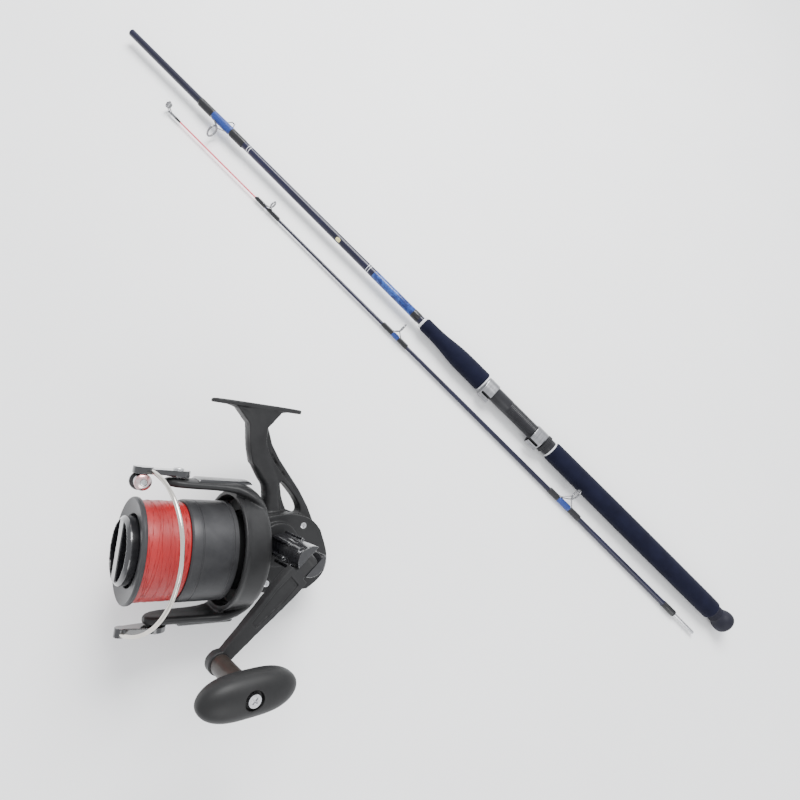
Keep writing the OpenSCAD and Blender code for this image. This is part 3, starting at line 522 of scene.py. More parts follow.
def softened(node, voxel, rounds, name, body, material, extra=()):
    """The CAD solid of node with its edges eased, with the extra solids grown into it."""
    bm = bmesh.new()
    bm.from_mesh(frame["nodes"][node].data)
    for solid in extra:
        merge_in(bm, solid)
    return piece(name, melted(bm, voxel, rounds), body, material, [node], 180)


def merge_in(bm, other):
    """Adds the bmesh other to bm."""
    mesh = bpy.data.meshes.new("part")
    other.to_mesh(mesh)
    other.free()
    bm.from_mesh(mesh)
    bpy.data.meshes.remove(mesh)


softened("fixed_hood", 0.35 * MM, 3, "fixed_hood_pressing", "butt_section", ALUMINIUM)
softened("sliding_hood", 0.35 * MM, 3, "sliding_hood_pressing", "seat_hood", ALUMINIUM)


# ---- Lock nut ----
# A black moulded nut on the seat thread: a knurled flange to grip and a faceted collar behind.

def make_lock_nut():
    low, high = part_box("lock_nut")
    bore = 7.86 * MM
    r = (high.z - low.z) / 2
    length = high.x - low.x
    profile = [(low.x, bore), (low.x, r - 0.9 * MM), (low.x + 0.5 * MM, r - 0.35 * MM),
               (low.x + 0.40 * length, r - 0.35 * MM), (low.x + 0.46 * length, r - 1.1 * MM),
               (low.x + 0.9 * length, r - 1.1 * MM), (high.x, r - 1.4 * MM), (high.x, bore)]
    bm = spun(closed(profile), 96)
    # Knurl: every other line of vertices on the flange stands a little proud
    for v in bm.verts:
        radius = math.hypot(v.co.y, v.co.z)
        turn = math.degrees(math.atan2(v.co.z, v.co.y))
        if radius > r - 0.6 * MM and math.cos(math.radians(turn * 24)) > 0.3:
            v.co.y *= (r - 0.02 * MM) / radius
            v.co.z *= (r - 0.02 * MM) / radius
        elif r - 1.3 * MM < radius < r - 0.8 * MM and v.co.x > low.x + 0.44 * length:
            flat = math.cos(math.radians((turn % 45) - 22.5))
            scale = min(1.0, 0.965 / flat)
            v.co.y *= scale
            v.co.z *= scale
    piece("lock_nut_moulding", on_butt(bm), "seat_nut", SEAT_PLASTIC, ["lock_nut"], 25)


make_lock_nut()


# ---- Guides ----
# Each guide is a ring of stainless wire on bent wire legs, brazed together, with a polished dark
# ceramic ring pressed into it. Its flattened feet are bound to the blank with thread, black at
# both ends and blue between, and the thread is flooded with epoxy.

tip_low, tip_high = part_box("tip_blank")
tip_axis = Vector((0, (tip_low.y + tip_high.y) / 2, (tip_low.z + tip_high.z) / 2))
tip_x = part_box("tip_top")[0].x
red_end_x = tip_low.x
WIRE = 0.6 * MM
FRAME_GAP = 0.9 * MM


def tip_radius(x):
    """Radius of the tip blank at x."""
    t = (x - red_end_x) / (tip_high.x - red_end_x)
    return ramp(1.3 * MM, (tip_high.z - tip_low.z) / 2, min(1, max(0, t)))


def bright_wire():
    mat, tree, shader, coords = finish_of("bright_wire", 0.22, metallic=1.0)
    fac = noise(tree, coords, 500, 3)
    tint(tree, shader, fac, [(0.3, 0.16, 0.16, 0.17), (0.7, 0.30, 0.30, 0.31)])
    wear(tree, shader, fac, 0.16, 0.34)
    return mat


def dark_ceramic():
    mat, tree, shader, coords = finish_of("dark_ceramic", 0.12, coat=0.6, coat_rough=0.03, ior=1.9)
    fac = noise(tree, coords, 400, 3)
    tint(tree, shader, fac, [(0.3, 0.10, 0.10, 0.11), (0.7, 0.16, 0.16, 0.17)])
    return mat


BRIGHT_WIRE = bright_wire()
CERAMIC = dark_ceramic()


def bent_wire(bm, points, radius, sides=4, steps=8):
    """Adds to bm a round wire bent smoothly through the points."""
    data = bpy.data.curves.new("bend", "CURVE")
    data.dimensions = "3D"
    spline = data.splines.new("BEZIER")
    spline.bezier_points.add(len(points) - 1)
    for knot, point in zip(spline.bezier_points, points):
        knot.co = point
        knot.handle_left_type = "AUTO"
        knot.handle_right_type = "AUTO"
    spline.resolution_u = steps
    data.bevel_depth = radius
    data.bevel_resolution = sides
    data.use_fill_caps = True
    obj = bpy.data.objects.new("bend", data)
    bpy.context.scene.collection.objects.link(obj)
    view = bpy.context.evaluated_depsgraph_get()
    mesh = bpy.data.meshes.new_from_object(obj.evaluated_get(view))
    bm.from_mesh(mesh)
    bpy.data.objects.remove(obj)
    bpy.data.curves.remove(data)
    bpy.data.meshes.remove(mesh)


def add_wire_ring(bm, centre, r_mid, radius, steps=48):
    """Adds a ring of round wire whose axis is X."""
    ring = spun(closed([(radius * math.cos(a), r_mid + radius * math.sin(a))
                        for a in [i / 12 * 2 * math.pi for i in range(12)]]), steps)
    bmesh.ops.translate(ring, verts=ring.verts, vec=centre)
    merge_in(bm, ring)


def make_guide_frame(name, node, body, place, ring_r, height, half, blank_r):
    bm = bmesh.new()
    r_mid = ring_r + FRAME_GAP + WIRE
    base = blank_r + WIRE * 0.8
    knee = half * 0.42
    add_wire_ring(bm, Vector((0, 0, height)), r_mid, WIRE)
    leg_y = r_mid * math.sin(math.radians(34))
    leg_z = height - r_mid * math.cos(math.radians(34))
    for side in (-1, 1):
        bent_wire(bm, [(0.1 * MM, side * leg_y, leg_z),
                       (-0.45 * knee, side * leg_y * 0.72, ramp(leg_z, base, 0.5)),
                       (-knee, side * 0.6 * MM, base + 0.5 * MM),
                       (-knee - 1.8 * MM, side * 0.5 * MM, base), (-half, side * 0.5 * MM, base)],
                  WIRE * 0.86)
    bent_wire(bm, [(0, 0, height - r_mid), (0.5 * knee, 0, ramp(height - r_mid, base, 0.5)),
                   (knee, 0, base + 0.4 * MM), (knee + 1.8 * MM, 0, base), (half, 0, base)], WIRE * 0.86)
    piece(name, bm, body, BRIGHT_WIRE, [node] if node else [], place=place)


def ceramic_ring(ring_r):
    """A ring whose bore is rounded like a bead, with a flat outer band."""
    w = 0.8 * MM
    bead = [(w * math.cos(a), ring_r + w + w * math.sin(a)) for a in
            [math.pi + i / 10 * math.pi for i in range(11)]]
    return spun(closed(bead + [(w, ring_r + 1.4 * MM), (-w, ring_r + 1.4 * MM)]), 56)


def thread_wrap(x0, x1, radius, foot):
    """A wrap from x0 to x1 about X, swollen over the guide foot that it binds along +Z."""
    height = 0.34 * MM
    stations = 14
    end = 0.5 * MM
    profile = [(x0, radius(x0) - 0.05 * MM)]
    for i in range(stations + 1):
        x = ramp(x0, x1, i / stations)
        edge = min(1.0, (x - x0 + 0.12 * MM) / end, (x1 - x + 0.12 * MM) / end)
        profile.append((x, radius(x) + height * math.sqrt(max(0, edge))))
    profile.append((x1, radius(x1) - 0.05 * MM))
    bm = spun(closed(profile), 48)
    for v in bm.verts:
        r = math.hypot(v.co.y, v.co.z)
        turn = abs(math.atan2(v.co.y, v.co.z))
        if foot and r > radius(v.co.x) and turn < 1.1:
            lift = 1.5 * WIRE * math.cos(turn / 1.1 * math.pi / 2) ** 2
            edge = min(1.0, (v.co.x - x0) / (2 * end), (x1 - v.co.x) / (2 * end))
            v.co.y *= (r + lift * edge) / r
            v.co.z *= (r + lift * edge) / r
    return bm


def guide_place(axis, x, turn):
    """The guide's own frame: X along the rod, Z from the blank to the ring."""
    return Matrix.Translation(axis + Vector((x, 0, 0))) @ Matrix.Rotation(math.radians(turn), 4, "X")


def make_butt_guide():
    low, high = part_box("butt_guide_ring")
    centre = (low + high) / 2
    height = butt_axis.y - centre.y
    place = guide_place(butt_axis, centre.x, 90)
    ring_r = (high.z - low.z) / 2 - 1.3 * MM
    half = 20 * MM
    make_guide_frame("butt_guide_wire", "butt_guide_frame", "butt_section", place, ring_r, height, half,
                     butt_radius(centre.x + half))
    ring = ceramic_ring(ring_r)
    bmesh.ops.translate(ring, verts=ring.verts, vec=(0, 0, height))
    piece("butt_guide_ceramic", ring, "butt_section", CERAMIC, ["butt_guide_ring"],
          place=place)
    local = lambda x: butt_radius(x + centre.x)
    black = thread_wrap(-33 * MM, -14 * MM, local, True)
    merge_in(black, thread_wrap(11 * MM, 29 * MM, local, True))
    piece("butt_guide_binding", black, "butt_section", THREAD_BLACK, ["butt_wraps"],
          place=place)
    blue = thread_wrap(-14 * MM, 11 * MM, local, True)
    piece("butt_guide_blue_binding", blue, "butt_section", THREAD_BLUE,
          ["butt_accent_wrap"], place=place)


def make_tip_guides():
    rings = bmesh.new()
    black = bmesh.new()
    blue = bmesh.new()
    rise = 50 - 90
    # Place from the tip-top, ring radius, height, half length, then the ends of each wrap
    table = [(557, 4.6, 16.5, 19, (-21, -8), (-8, 7), (7, 21)),
             (321, 3.2, 11.6, 13, (-18, -4), (-4, 4), (4, 16)),
             (144, 2.2, 7.4, 9, (-18, -5), None, (-2, 14))]
    for i, (t, ring_r, height, half, front, middle, rear) in enumerate(table):
        x = red_end_x + (t - 125) * MM
        place = guide_place(tip_axis, x, rise)
        make_guide_frame(f"guide_{i + 1}_wire", f"guide_{i + 1}_frame", "tip_section", place,
                         ring_r * MM, height * MM, half * MM, tip_radius(x + half * MM))
        ring = ceramic_ring(ring_r * MM)
        bmesh.ops.translate(ring, verts=ring.verts, vec=(0, 0, height * MM))
        bmesh.ops.transform(ring, matrix=place, verts=ring.verts)
        merge_in(rings, ring)
        local = lambda s, x=x: tip_radius(x + s)
        for ends, into in ((front, black), (rear, black), (middle, blue)):
            if ends:
                wrap = thread_wrap(ends[0] * MM, ends[1] * MM, local, True)
                bmesh.ops.transform(wrap, matrix=place, verts=wrap.verts)
                merge_in(into, wrap)
    tip_bore = ceramic_ring(1.5 * MM)
    place = guide_place(tip_axis, tip_x + 2.1 * MM, rise)
    bmesh.ops.translate(tip_bore, verts=tip_bore.verts, vec=(0, 0, 4.6 * MM))
    bmesh.ops.transform(tip_bore, matrix=place, verts=tip_bore.verts)
    merge_in(rings, tip_bore)
    piece("tip_guide_ceramics", rings, "tip_section", CERAMIC, ["tip_guide_rings"])
    top = spun(closed([(14 * MM, 0.8 * MM), (14 * MM, 1.25 * MM), (15 * MM, 1.3 * MM), (20 * MM, 1.0 * MM),
                       (20 * MM, 0.8 * MM)]), 32)
    bmesh.ops.translate(top, verts=top.verts, vec=tip_axis + Vector((red_end_x - 125 * MM, 0, 0)))
    merge_in(black, top)
    piece("tip_guide_bindings", black, "tip_section", THREAD_BLACK, ["tip_wraps"])
    piece("tip_guide_blue_bindings", blue, "tip_section", THREAD_BLUE, ["tip_accent_wraps"])


make_butt_guide()
make_tip_guides()
for node in ("tip_top", "keeper_loop"):
    finish_kept(node, BRIGHT_WIRE)


# ---- Tip section ----
# A finer rolled tube in the same navy lacquer. A solid red glass-fibre tip is glued into its fine
# end, and a bright ground spigot into its thick end, behind a black epoxied collar.

def red_fibre():
    mat, tree, shader, coords = finish_of("red_fibre", 0.3, coat=0.8, coat_rough=0.08)
    mapping = tree.nodes.new("ShaderNodeMapping")
    mapping.inputs["Scale"].default_value = (40, 1500, 1500)
    tree.links.new(coords, mapping.inputs["Vector"])
    fibre = noise(tree, mapping.outputs["Vector"], 1, 4)
    tint(tree, shader, fibre, [(0.3, 0.55, 0.03, 0.07), (0.7, 0.85, 0.10, 0.16)])
    shader.inputs["Subsurface Weight"].default_value = 0.15
    shader.inputs["Subsurface Radius"].default_value = (0.002, 0.0005, 0.0005)
    bump(tree, shader, fibre, 0.1, 0.00005)
    return mat


def ground_steel():
    mat, tree, shader, coords = finish_of("ground_steel", 0.25, metallic=1.0)
    fac = noise(tree, coords, 700, 4)
    tint(tree, shader, fac, [(0.3, 0.48, 0.48, 0.50), (0.7, 0.64, 0.64, 0.66)])
    wear(tree, shader, fac, 0.18, 0.36)
    bump(tree, shader, fac, 0.06, 0.00005)
    return mat


STEEL = ground_steel()


def on_tip(bm):
    bmesh.ops.translate(bm, verts=bm.verts, vec=tip_axis)
    return bm


def make_tip_section():
    bore = 1.6 * MM
    depth = 38 * MM
    profile = [(red_end_x, 0.8 * MM), (red_end_x + 0.3 * MM, tip_radius(red_end_x))]
    profile += [(ramp(red_end_x, tip_high.x, i / 24), tip_radius(ramp(red_end_x, tip_high.x, i / 24)))
                for i in range(1, 25)]
    profile += [(tip_high.x, bore), (tip_high.x - depth, bore), (tip_high.x - depth, 0.8 * MM)]
    piece("tip_blank_lacquered", on_tip(spun(closed(profile), 48)), "tip_section", BLANK,
          ["tip_blank"])
    low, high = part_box("red_tip")
    r = (high.z - low.z) / 2
    rod = spun([(low.x, 0), (low.x, r)] + [(ramp(low.x, high.x, i / 16), r) for i in range(1, 17)]
               + [(high.x, 0)], 24)
    piece("red_solid_tip", on_tip(rod), "tip_section", red_fibre(), ["red_tip"])
    low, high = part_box("spigot")
    r = (high.z - low.z) / 2
    tail_r = r - 0.1 * MM
    face = tip_high.x
    rod = spun([(low.x, 0), (low.x, tail_r), (face, tail_r), (face, r), (high.x - 0.8 * MM, r),
                (high.x - 0.3 * MM, r - 0.25 * MM), (high.x, r - 0.8 * MM), (high.x, 0)], 48)
    piece("spigot_ground", on_tip(rod), "tip_section", STEEL, ["spigot"])
    low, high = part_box("spigot_collar")
    bm = on_tip(spun(skin(low.x, high.x, 0.5 * MM, tip_radius), 48))
    piece("spigot_collar_wrap", bm, "tip_section", THREAD_BLACK, ["spigot_collar"])


make_tip_section()


# ---- Reel body ----
# One moulding of charcoal glass-filled nylon: foot, stem with its window and gear case. The foot's
# ends fit under the hoods of the seat. A rib behind the window runs down into the rear of the case.

joints = {joint["name"]: joint for joint in frame["joints"]}
ahead = Vector(joints["shaft_stroke"]["axis"]).normalized()
across = Vector(joints["handle_turn"]["axis"]).normalized()
reel_origin = Vector(joints["rotor_turn"]["pos_m"]) - 20 * MM * ahead
# The reel's own frame: X along the spool axis, Y to the handle, Z to the foot
REEL = Matrix.Translation(reel_origin) @ Matrix((ahead, across, ahead.cross(across))).transposed().to_4x4()
REEL_PLASTIC = satin_moulding("reel_moulding", (0.012, 0.012, 0.0125), (0.021, 0.021, 0.0215), 0.36, 0.5)
GLOSS_BLACK = gloss_paint("gloss_black_moulding", (0.004, 0.004, 0.005), (0.011, 0.011, 0.013), 0.22)


def loft(sections):
    """A closed solid through rings of points, each ring given with the same number of points."""
    bm = bmesh.new()
    rings = []
    for section in sections:
        verts = [bm.verts.new(point) for point in section]
        rings.append([bm.edges.new((a, b)) for a, b in zip(verts, verts[1:] + verts[:1])])
    for low, high in zip(rings, rings[1:]):
        bmesh.ops.bridge_loops(bm, edges=low + high)
    bmesh.ops.holes_fill(bm, edges=[e for e in bm.edges if e.is_boundary], sides=0)
    bmesh.ops.recalc_face_normals(bm, faces=bm.faces)
    return bm


def rounded_box(a, b, power=3.0, count=28):
    """Points of a rounded oblong about 0, with half widths a and b."""
    out = []
    for i in range(count):
        turn = i / count * 2 * math.pi
        c, s = math.cos(turn), math.sin(turn)
        out.append((a * math.copysign(abs(c) ** (2 / power), c),
                    b * math.copysign(abs(s) ** (2 / power), s)))
    return out


def in_reel(bm):
    bmesh.ops.transform(bm, matrix=REEL, verts=bm.verts)
    return bm


def make_stem():
    """The stem from the foot's underside to the case: height, middle, half length, half width."""
    rows = [(105.9, 21, 34, 6.4), (104.9, 21, 26, 6.5), (103.6, 21, 20, 6.5), (101.6, 20.8, 14.8, 6.4),
            (98.8, 20.5, 11.2, 6.3), (95.5, 20.1, 9.2, 6.1), (90, 19.6, 7.7, 6), (84, 19.1, 7.6, 6),
            (78, 18, 8.3, 6.1), (72, 15.8, 9, 6.3), (66, 12.6, 9.6, 6.5), (60, 9, 9.6, 6.7),
            (54, 5.6, 8.6, 7), (48, 2.4, 6.6, 7.2), (42, 0.8, 5.8, 7.6), (36, 0.4, 6.2, 8.2),
            (30, 0, 7.5, 9), (24, -1, 9, 9.5)]
    sections = []
    for z, x, a, b in rows:
        sections.append([((x + dx) * MM, dy * MM, z * MM) for dx, dy in rounded_box(a, b, 2.6)])
    return in_reel(loft(sections))


def make_rear_rib():
    """The rib behind the window, running into the rear edge of the case."""
    spine = [(13, 90), (8, 78), (0, 67), (-10, 56), (-20, 45), (-29, 33), (-36, 21), (-42, 8), (-45.5, -5)]
    sections = []
    for k, (x, z) in enumerate(spine):
        before, after = spine[max(0, k - 1)], spine[min(len(spine) - 1, k + 1)]
        along = Vector((after[0] - before[0], 0, after[1] - before[1])).normalized()
        out = Vector((along.z, 0, -along.x))
        width = 3.6 + 0.35 * k
        sections.append([(Vector((x, 0, z)) + out * dx + Vector((0, dy, 0))) * MM
                         for dx, dy in rounded_box(2.3, width, 2.4)])
    return in_reel(loft(sections))


softened("reel_body", 0.75 * MM, 6, "reel_body_moulding", "reel", REEL_PLASTIC,
         [make_stem(), make_rear_rib()])


# ---- Side cover and its screws ----
# The handle side of the gear case closes with a moulded cover, its boss ringed round the handle
# shaft, held by three cross-head screws in shallow counterbores.

def bright_screw():
    mat, tree, shader, coords = finish_of("zinc_screw", 0.25, metallic=1.0)
    fac = noise(tree, coords, 900, 3)
    tint(tree, shader, fac, [(0.3, 0.45, 0.45, 0.46), (0.7, 0.66, 0.66, 0.67)])
    bump(tree, shader, fac, 0.08, 0.00005)
    return mat


SCREW_METAL = bright_screw()


def cross_head(r, height, length=0.0, shank_r=0.0):
    """A pan-head screw along +Z from its seat at 0, with a cross recess in a domed top."""
    bm = bmesh.new()
    bmesh.ops.create_circle(bm, cap_ends=True, segments=48, radius=r)
    top = bm.faces[:]
    for scale, rise in ((1.0, 0.55), (0.93, 0.25), (0.78, 0.12)):
        out = bmesh.ops.extrude_discrete_faces(bm, faces=top)
        top = out["faces"]
        verts = {v for face in top for v in face.verts}
        bmesh.ops.translate(bm, vec=(0, 0, rise * height), verts=list(verts))
        bmesh.ops.scale(bm, vec=(scale, scale, 1), verts=list(verts))
    for turn in (0, 90):
        cut = bmesh.new()
        bmesh.ops.create_cube(cut, size=1)
        bmesh.ops.scale(cut, vec=(1.15 * r, 0.22 * r, 0.5 * height), verts=cut.verts)
        bmesh.ops.rotate(cut, matrix=Matrix.Rotation(math.radians(turn), 3, "Z"), verts=cut.verts)
        bmesh.ops.translate(cut, vec=(0, 0, 0.92 * height), verts=cut.verts)
        carve(bm, cut)
    if length:
        shank = bmesh.new()
        bmesh.ops.create_cone(shank, cap_ends=True, segments=24, radius1=shank_r, radius2=shank_r,
                              depth=length)
        bmesh.ops.translate(shank, vec=(0, 0, -length / 2 + 0.01 * MM), verts=shank.verts)
        merge_in(bm, shank)
    return bm


def carve(bm, cut):
    """Cuts the solid cut out of bm."""
    made = []
    for part, name in ((bm, "stock"), (cut, "cutter")):
        mesh = bpy.data.meshes.new(name)
        bmesh.ops.remove_doubles(part, verts=part.verts, dist=1e-7)
        bmesh.ops.recalc_face_normals(part, faces=part.faces)
        part.to_mesh(mesh)
        made.append(bpy.data.objects.new(name, mesh))
        bpy.context.scene.collection.objects.link(made[-1])
    cut.free()
    boolean = made[0].modifiers.new("cut", "BOOLEAN")
    boolean.operation = "DIFFERENCE"
    boolean.solver = "EXACT"
    boolean.object = made[1]
    view = bpy.context.evaluated_depsgraph_get()
    mesh = bpy.data.meshes.new_from_object(made[0].evaluated_get(view))
    bm.clear()
    bm.from_mesh(mesh)
    bpy.data.meshes.remove(mesh)
    for obj in made:
        data = obj.data
        bpy.data.objects.remove(obj)
        bpy.data.meshes.remove(data)


def handle_side(x, y, z):
    """Places a shape built along its Z so that it points to the handle side at x, y, z of the reel."""
    return REEL @ Matrix.Translation((x * MM, y * MM, z * MM)) @ Matrix.Rotation(math.radians(-90), 4, "X")


softened("side_cover", 0.7 * MM, 4, "side_cover_moulding", "reel", REEL_PLASTIC)
body_screws = bmesh.new()
for x, z in ((-21, 21.5), (-38, -8), (3, -21)):
    screw = cross_head(2.5 * MM, 1.5 * MM, 12 * MM, 1.3 * MM)
    bmesh.ops.transform(screw, matrix=handle_side(x, 17.62, z), verts=screw.verts)
    merge_in(body_screws, screw)
piece("cover_screws", body_screws, "reel", SCREW_METAL, ["body_screws"])
softened("bearing_cap", 0.5 * MM, 3, "bearing_cap_moulding", "reel", GLOSS_BLACK)
softened("anti_reverse_lever", 0.3 * MM, 3, "anti_reverse_lever_moulding", "reverse_lever", GLOSS_BLACK)


# ---- Rotor ----
# A balanced moulding: a cup round the nose with two arms. Each arm carries a glossy ribbed cover
# over its spring and linkage.

def make_arm_covers():
    bm = bmesh.new()
    x0, x1 = 20.5 * MM, 59.5 * MM
    half = 8.6 * MM
    base = 49.5 * MM
    for side in (1, -1):
        panel = bmesh.new()
        bmesh.ops.create_grid(panel, x_segments=40, y_segments=44, size=0.5)
        for v in panel.verts:
            x = ramp(x0, x1, v.co.x + 0.5)
            across_y = 2 * v.co.y * half
            end = min(1.0, min(x - x0, x1 - x) / (1.6 * MM), (half - abs(across_y)) / (1.2 * MM))
            stripe = 0.22 * MM * max(0, math.cos(across_y / (2.1 * MM) * 2 * math.pi))
            r = base + 0.1 * MM + (1.2 * MM + stripe) * math.sqrt(max(0, end))
            turn = across_y / base
            v.co = Vector((x, r * math.sin(turn), side * r * math.cos(turn)))
        rim = bmesh.ops.extrude_edge_only(panel, edges=[e for e in panel.edges if e.is_boundary])
        for v in [g for g in rim["geom"] if isinstance(g, bmesh.types.BMVert)]:
            r = math.hypot(v.co.y, v.co.z)
            v.co.y *= (r - 0.6 * MM) / r
            v.co.z *= (r - 0.6 * MM) / r
        bmesh.ops.holes_fill(panel, edges=[e for e in panel.edges if e.is_boundary], sides=0)
        bmesh.ops.triangulate(panel, faces=[f for f in panel.faces if len(f.verts) > 4])
        bmesh.ops.recalc_face_normals(panel, faces=panel.faces)
        merge_in(bm, panel)
    piece("arm_cover_mouldings", bm, "rotor_group", GLOSS_BLACK, ["arm_covers"],
          place=REEL)


def make_rotor():
    cup = spun(closed([(x * MM, r * MM) for x, r in (
        (12, 36.6), (12, 38.6), (13.5, 40.2), (16, 41), (29, 41.4), (31, 42.2), (32.5, 42.2), (32.5, 38.8),
        (21.5, 38.6), (20.9, 27.8), (37, 27.8), (37, 4.1), (34, 4.1), (34, 25.4), (18.5, 25.4),
        (18.5, 36.6))]), 96)
    rows = [(12.6, 38.8, 2.2, 27), (16, 41.5, 2.6, 26), (21, 43.8, 3.4, 24), (27, 45.6, 3.8, 20.5),
            (33, 46.6, 3.6, 17), (40, 46.6, 3.2, 14.4), (48, 46.5, 3, 13), (58, 46.4, 3, 12.2),
            (68, 46.4, 3, 11.4), (74, 46.4, 3, 9.8), (78, 46.4, 2.8, 6.8), (80, 46.4, 2.2, 3.4)]
    for side in (1, -1):
        sections = []
        for x, r, thick, half in rows:
            ring = []
            for dy, dr in rounded_box(half, thick, 3.2):
                turn = dy / (r + thick)
                ring.append((x * MM, (r + dr) * math.sin(turn) * MM,
                             side * (r + dr) * math.cos(turn) * MM))
            sections.append(ring)
        merge_in(cup, loft(sections))
    piece("rotor_moulding", melted(in_reel(cup), 0.75 * MM, 5), "rotor_group", REEL_PLASTIC,
          ["rotor"], 180)


make_rotor()
make_arm_covers()


# ---- Bail ----
# A chromed wire bail between a moulded arm with the line roller and a trip lever opposite. Shoulder
# screws are the pivots, and the roller turns on a screw of its own under a domed bright cap.

def champagne_wire():
    mat, tree, shader, coords = finish_of("champagne_wire", 0.18, metallic=1.0)
    fac = noise(tree, coords, 60, 4)
    tint(tree, shader, fac, [(0.3, 0.55, 0.52, 0.47), (0.7, 0.68, 0.65, 0.60)])
    wear(tree, shader, noise(tree, coords, 300, 3), 0.12, 0.26)
    return mat


ROLLER_X, ROLLER_Z = 96, 45.8


def across_roller(y):
    """Places a shape built along its X so that it lies on the roller's axis from y."""
    return handle_side(ROLLER_X, y, ROLLER_Z) @ Matrix.Rotation(math.radians(-90), 4, "Y")


def make_roller():
    profile = [(0, 1.4), (0, 3.8), (0.25, 4.3), (0.7, 4.4), (1.6, 4.4), (2.4, 4.0), (3.4, 3.45), (4.2, 3.35),
               (5.2, 3.5), (6.2, 4.0), (6.8, 4.4), (7.5, 4.4), (7.8, 4.2), (8, 3.8), (8, 1.4)]
    bm = spun(closed([(x * MM, r * MM) for x, r in profile]), 56)
    piece("line_roller_turned", bm, "roller", SCREW_METAL, ["line_roller"],
          place=across_roller(-1))


def outward(x, y, z, side):
    """Places a shape built along its Z so that it points away from the spool axis."""
    turn = Matrix.Rotation(math.radians(0 if side > 0 else 180), 4, "X")
    return REEL @ Matrix.Translation((x * MM, y * MM, side * z * MM)) @ turn


softened("bail_arm", 0.32 * MM, 3, "bail_arm_moulding", "bail", GLOSS_BLACK)
softened("trip_lever", 0.32 * MM, 3, "trip_lever_moulding", "bail", GLOSS_BLACK)
finish_kept("bail_wire", champagne_wire())
make_roller()
screw = cross_head(2.2 * MM, 1.0 * MM, 11 * MM, 1.25 * MM)
piece("roller_cross_screw", screw, "bail", SCREW_METAL, ["roller_screw"],
      place=handle_side(ROLLER_X, 8.6, ROLLER_Z))
pivots = bmesh.new()
for side, seat in ((1, 54.8), (-1, 54.2)):
    screw = cross_head(3.6 * MM, 1.5 * MM, 9 * MM, 1.5 * MM)
    bmesh.ops.transform(screw, matrix=outward(72, 0, seat, side), verts=screw.verts)
    merge_in(pivots, screw)
piece("bail_pivot_screws", pivots, "rotor_group", SCREW_METAL, ["bail_screws"])
domed_cap = spun(closed([(x * MM, r * MM) for x, r in (
    (7.2, 1.4), (7.2, 5.2), (7.5, 5.5), (8.2, 5.4), (9.0, 4.6), (9.5, 3.2), (9.6, 2.4), (8.7, 2.3),
    (8.7, 1.4))]), 56)


def rosy_chrome():
    """Polished metal, blushed red in soft patches."""
    mat, tree, shader, coords = finish_of("rosy_chrome", 0.22, metallic=1.0)
    fac = noise(tree, coords, 90, 3)
    tint(tree, shader, fac, [(0.35, 0.62, 0.60, 0.60), (0.55, 0.62, 0.28, 0.28)])
    wear(tree, shader, fac, 0.18, 0.3)
    return mat


piece("roller_domed_cap", domed_cap, "bail", rosy_chrome(),
      place=across_roller(0))


# ---- Spool ----
# Die-cast alloy with a satin graphite coat: skirt, core and front flange, turned after casting.
# A trim groove runs round the skirt, and the front face falls in a cone to the drag knob.

def graphite_coat():
    mat, tree, shader, coords = finish_of("graphite_coat", 0.4, metallic=0.3)
    shader.inputs["Specular IOR Level"].default_value = 0.22
    cloud = noise(tree, coords, 80, 4)
    tint(tree, shader, cloud, [(0.3, 0.030, 0.030, 0.032), (0.7, 0.045, 0.045, 0.047)])
    wear(tree, shader, cloud, 0.3, 0.46)
    bump(tree, shader, noise(tree, coords, 1500, 2), 0.1, 0.00006)
    return mat


def make_spool():
    skirt = [(34, 33.0), (34, 34.3), (34.3, 34.6), (37, 34.6), (37.3, 34.2), (38.3, 34.2), (38.6, 34.6),
             (58, 34.6), (58.3, 34.3), (59, 34.3), (59.3, 34.6), (64.4, 34.6), (65, 34.4), (66, 33.8)]
    front = [(66, 25), (94, 25), (94, 34.2), (94.3, 34.8), (94.9, 35), (96.2, 35), (97, 34.6), (97.4, 33.8),
             (97.2, 33.0), (96.9, 30.5), (96.0, 26.0), (95.8, 24.4), (95.4, 24.0), (86, 23.3)]
    inside = [(86, 18), (74, 18), (74, 2.56), (70, 2.56), (70, 20), (62, 22.4), (62, 33.0)]
    profile = [(x * MM, r * MM) for x, r in skirt + front + inside]
    piece("spool_cast", spun(closed(profile), 128), "spool_group", graphite_coat(),
          ["spool"], 25, REEL)


def braided_line():
    """Thin red line laid in slightly crossing turns round X."""
    mat, tree, shader, coords = finish_of("braided_line", 0.42, coat=0.25, coat_rough=0.3)
    local = tree.nodes.new("ShaderNodeMapping")
    turn = REEL.to_euler()
    local.vector_type = "TEXTURE"
    local.inputs["Location"].default_value = REEL.translation
    local.inputs["Rotation"].default_value = turn
    tree.links.new(coords, local.inputs["Vector"])
    turns = tree.nodes.new("ShaderNodeTexWave")
    turns.bands_direction = "X"
    turns.inputs["Scale"].default_value = 520
    turns.inputs["Distortion"].default_value = 1.6
    turns.inputs["Detail"].default_value = 1
    tree.links.new(local.outputs["Vector"], turns.inputs["Vector"])
    patch = noise(tree, coords, 60, 4)
    stops = [(0.1, 0.14, 0.001, 0.002), (0.75, 0.46, 0.004, 0.006)]
    tint(tree, shader, turns.outputs["Fac"], stops)
    wear(tree, shader, patch, 0.35, 0.6)
    bump(tree, shader, turns.outputs["Fac"], 0.5, 0.0002)
    return mat


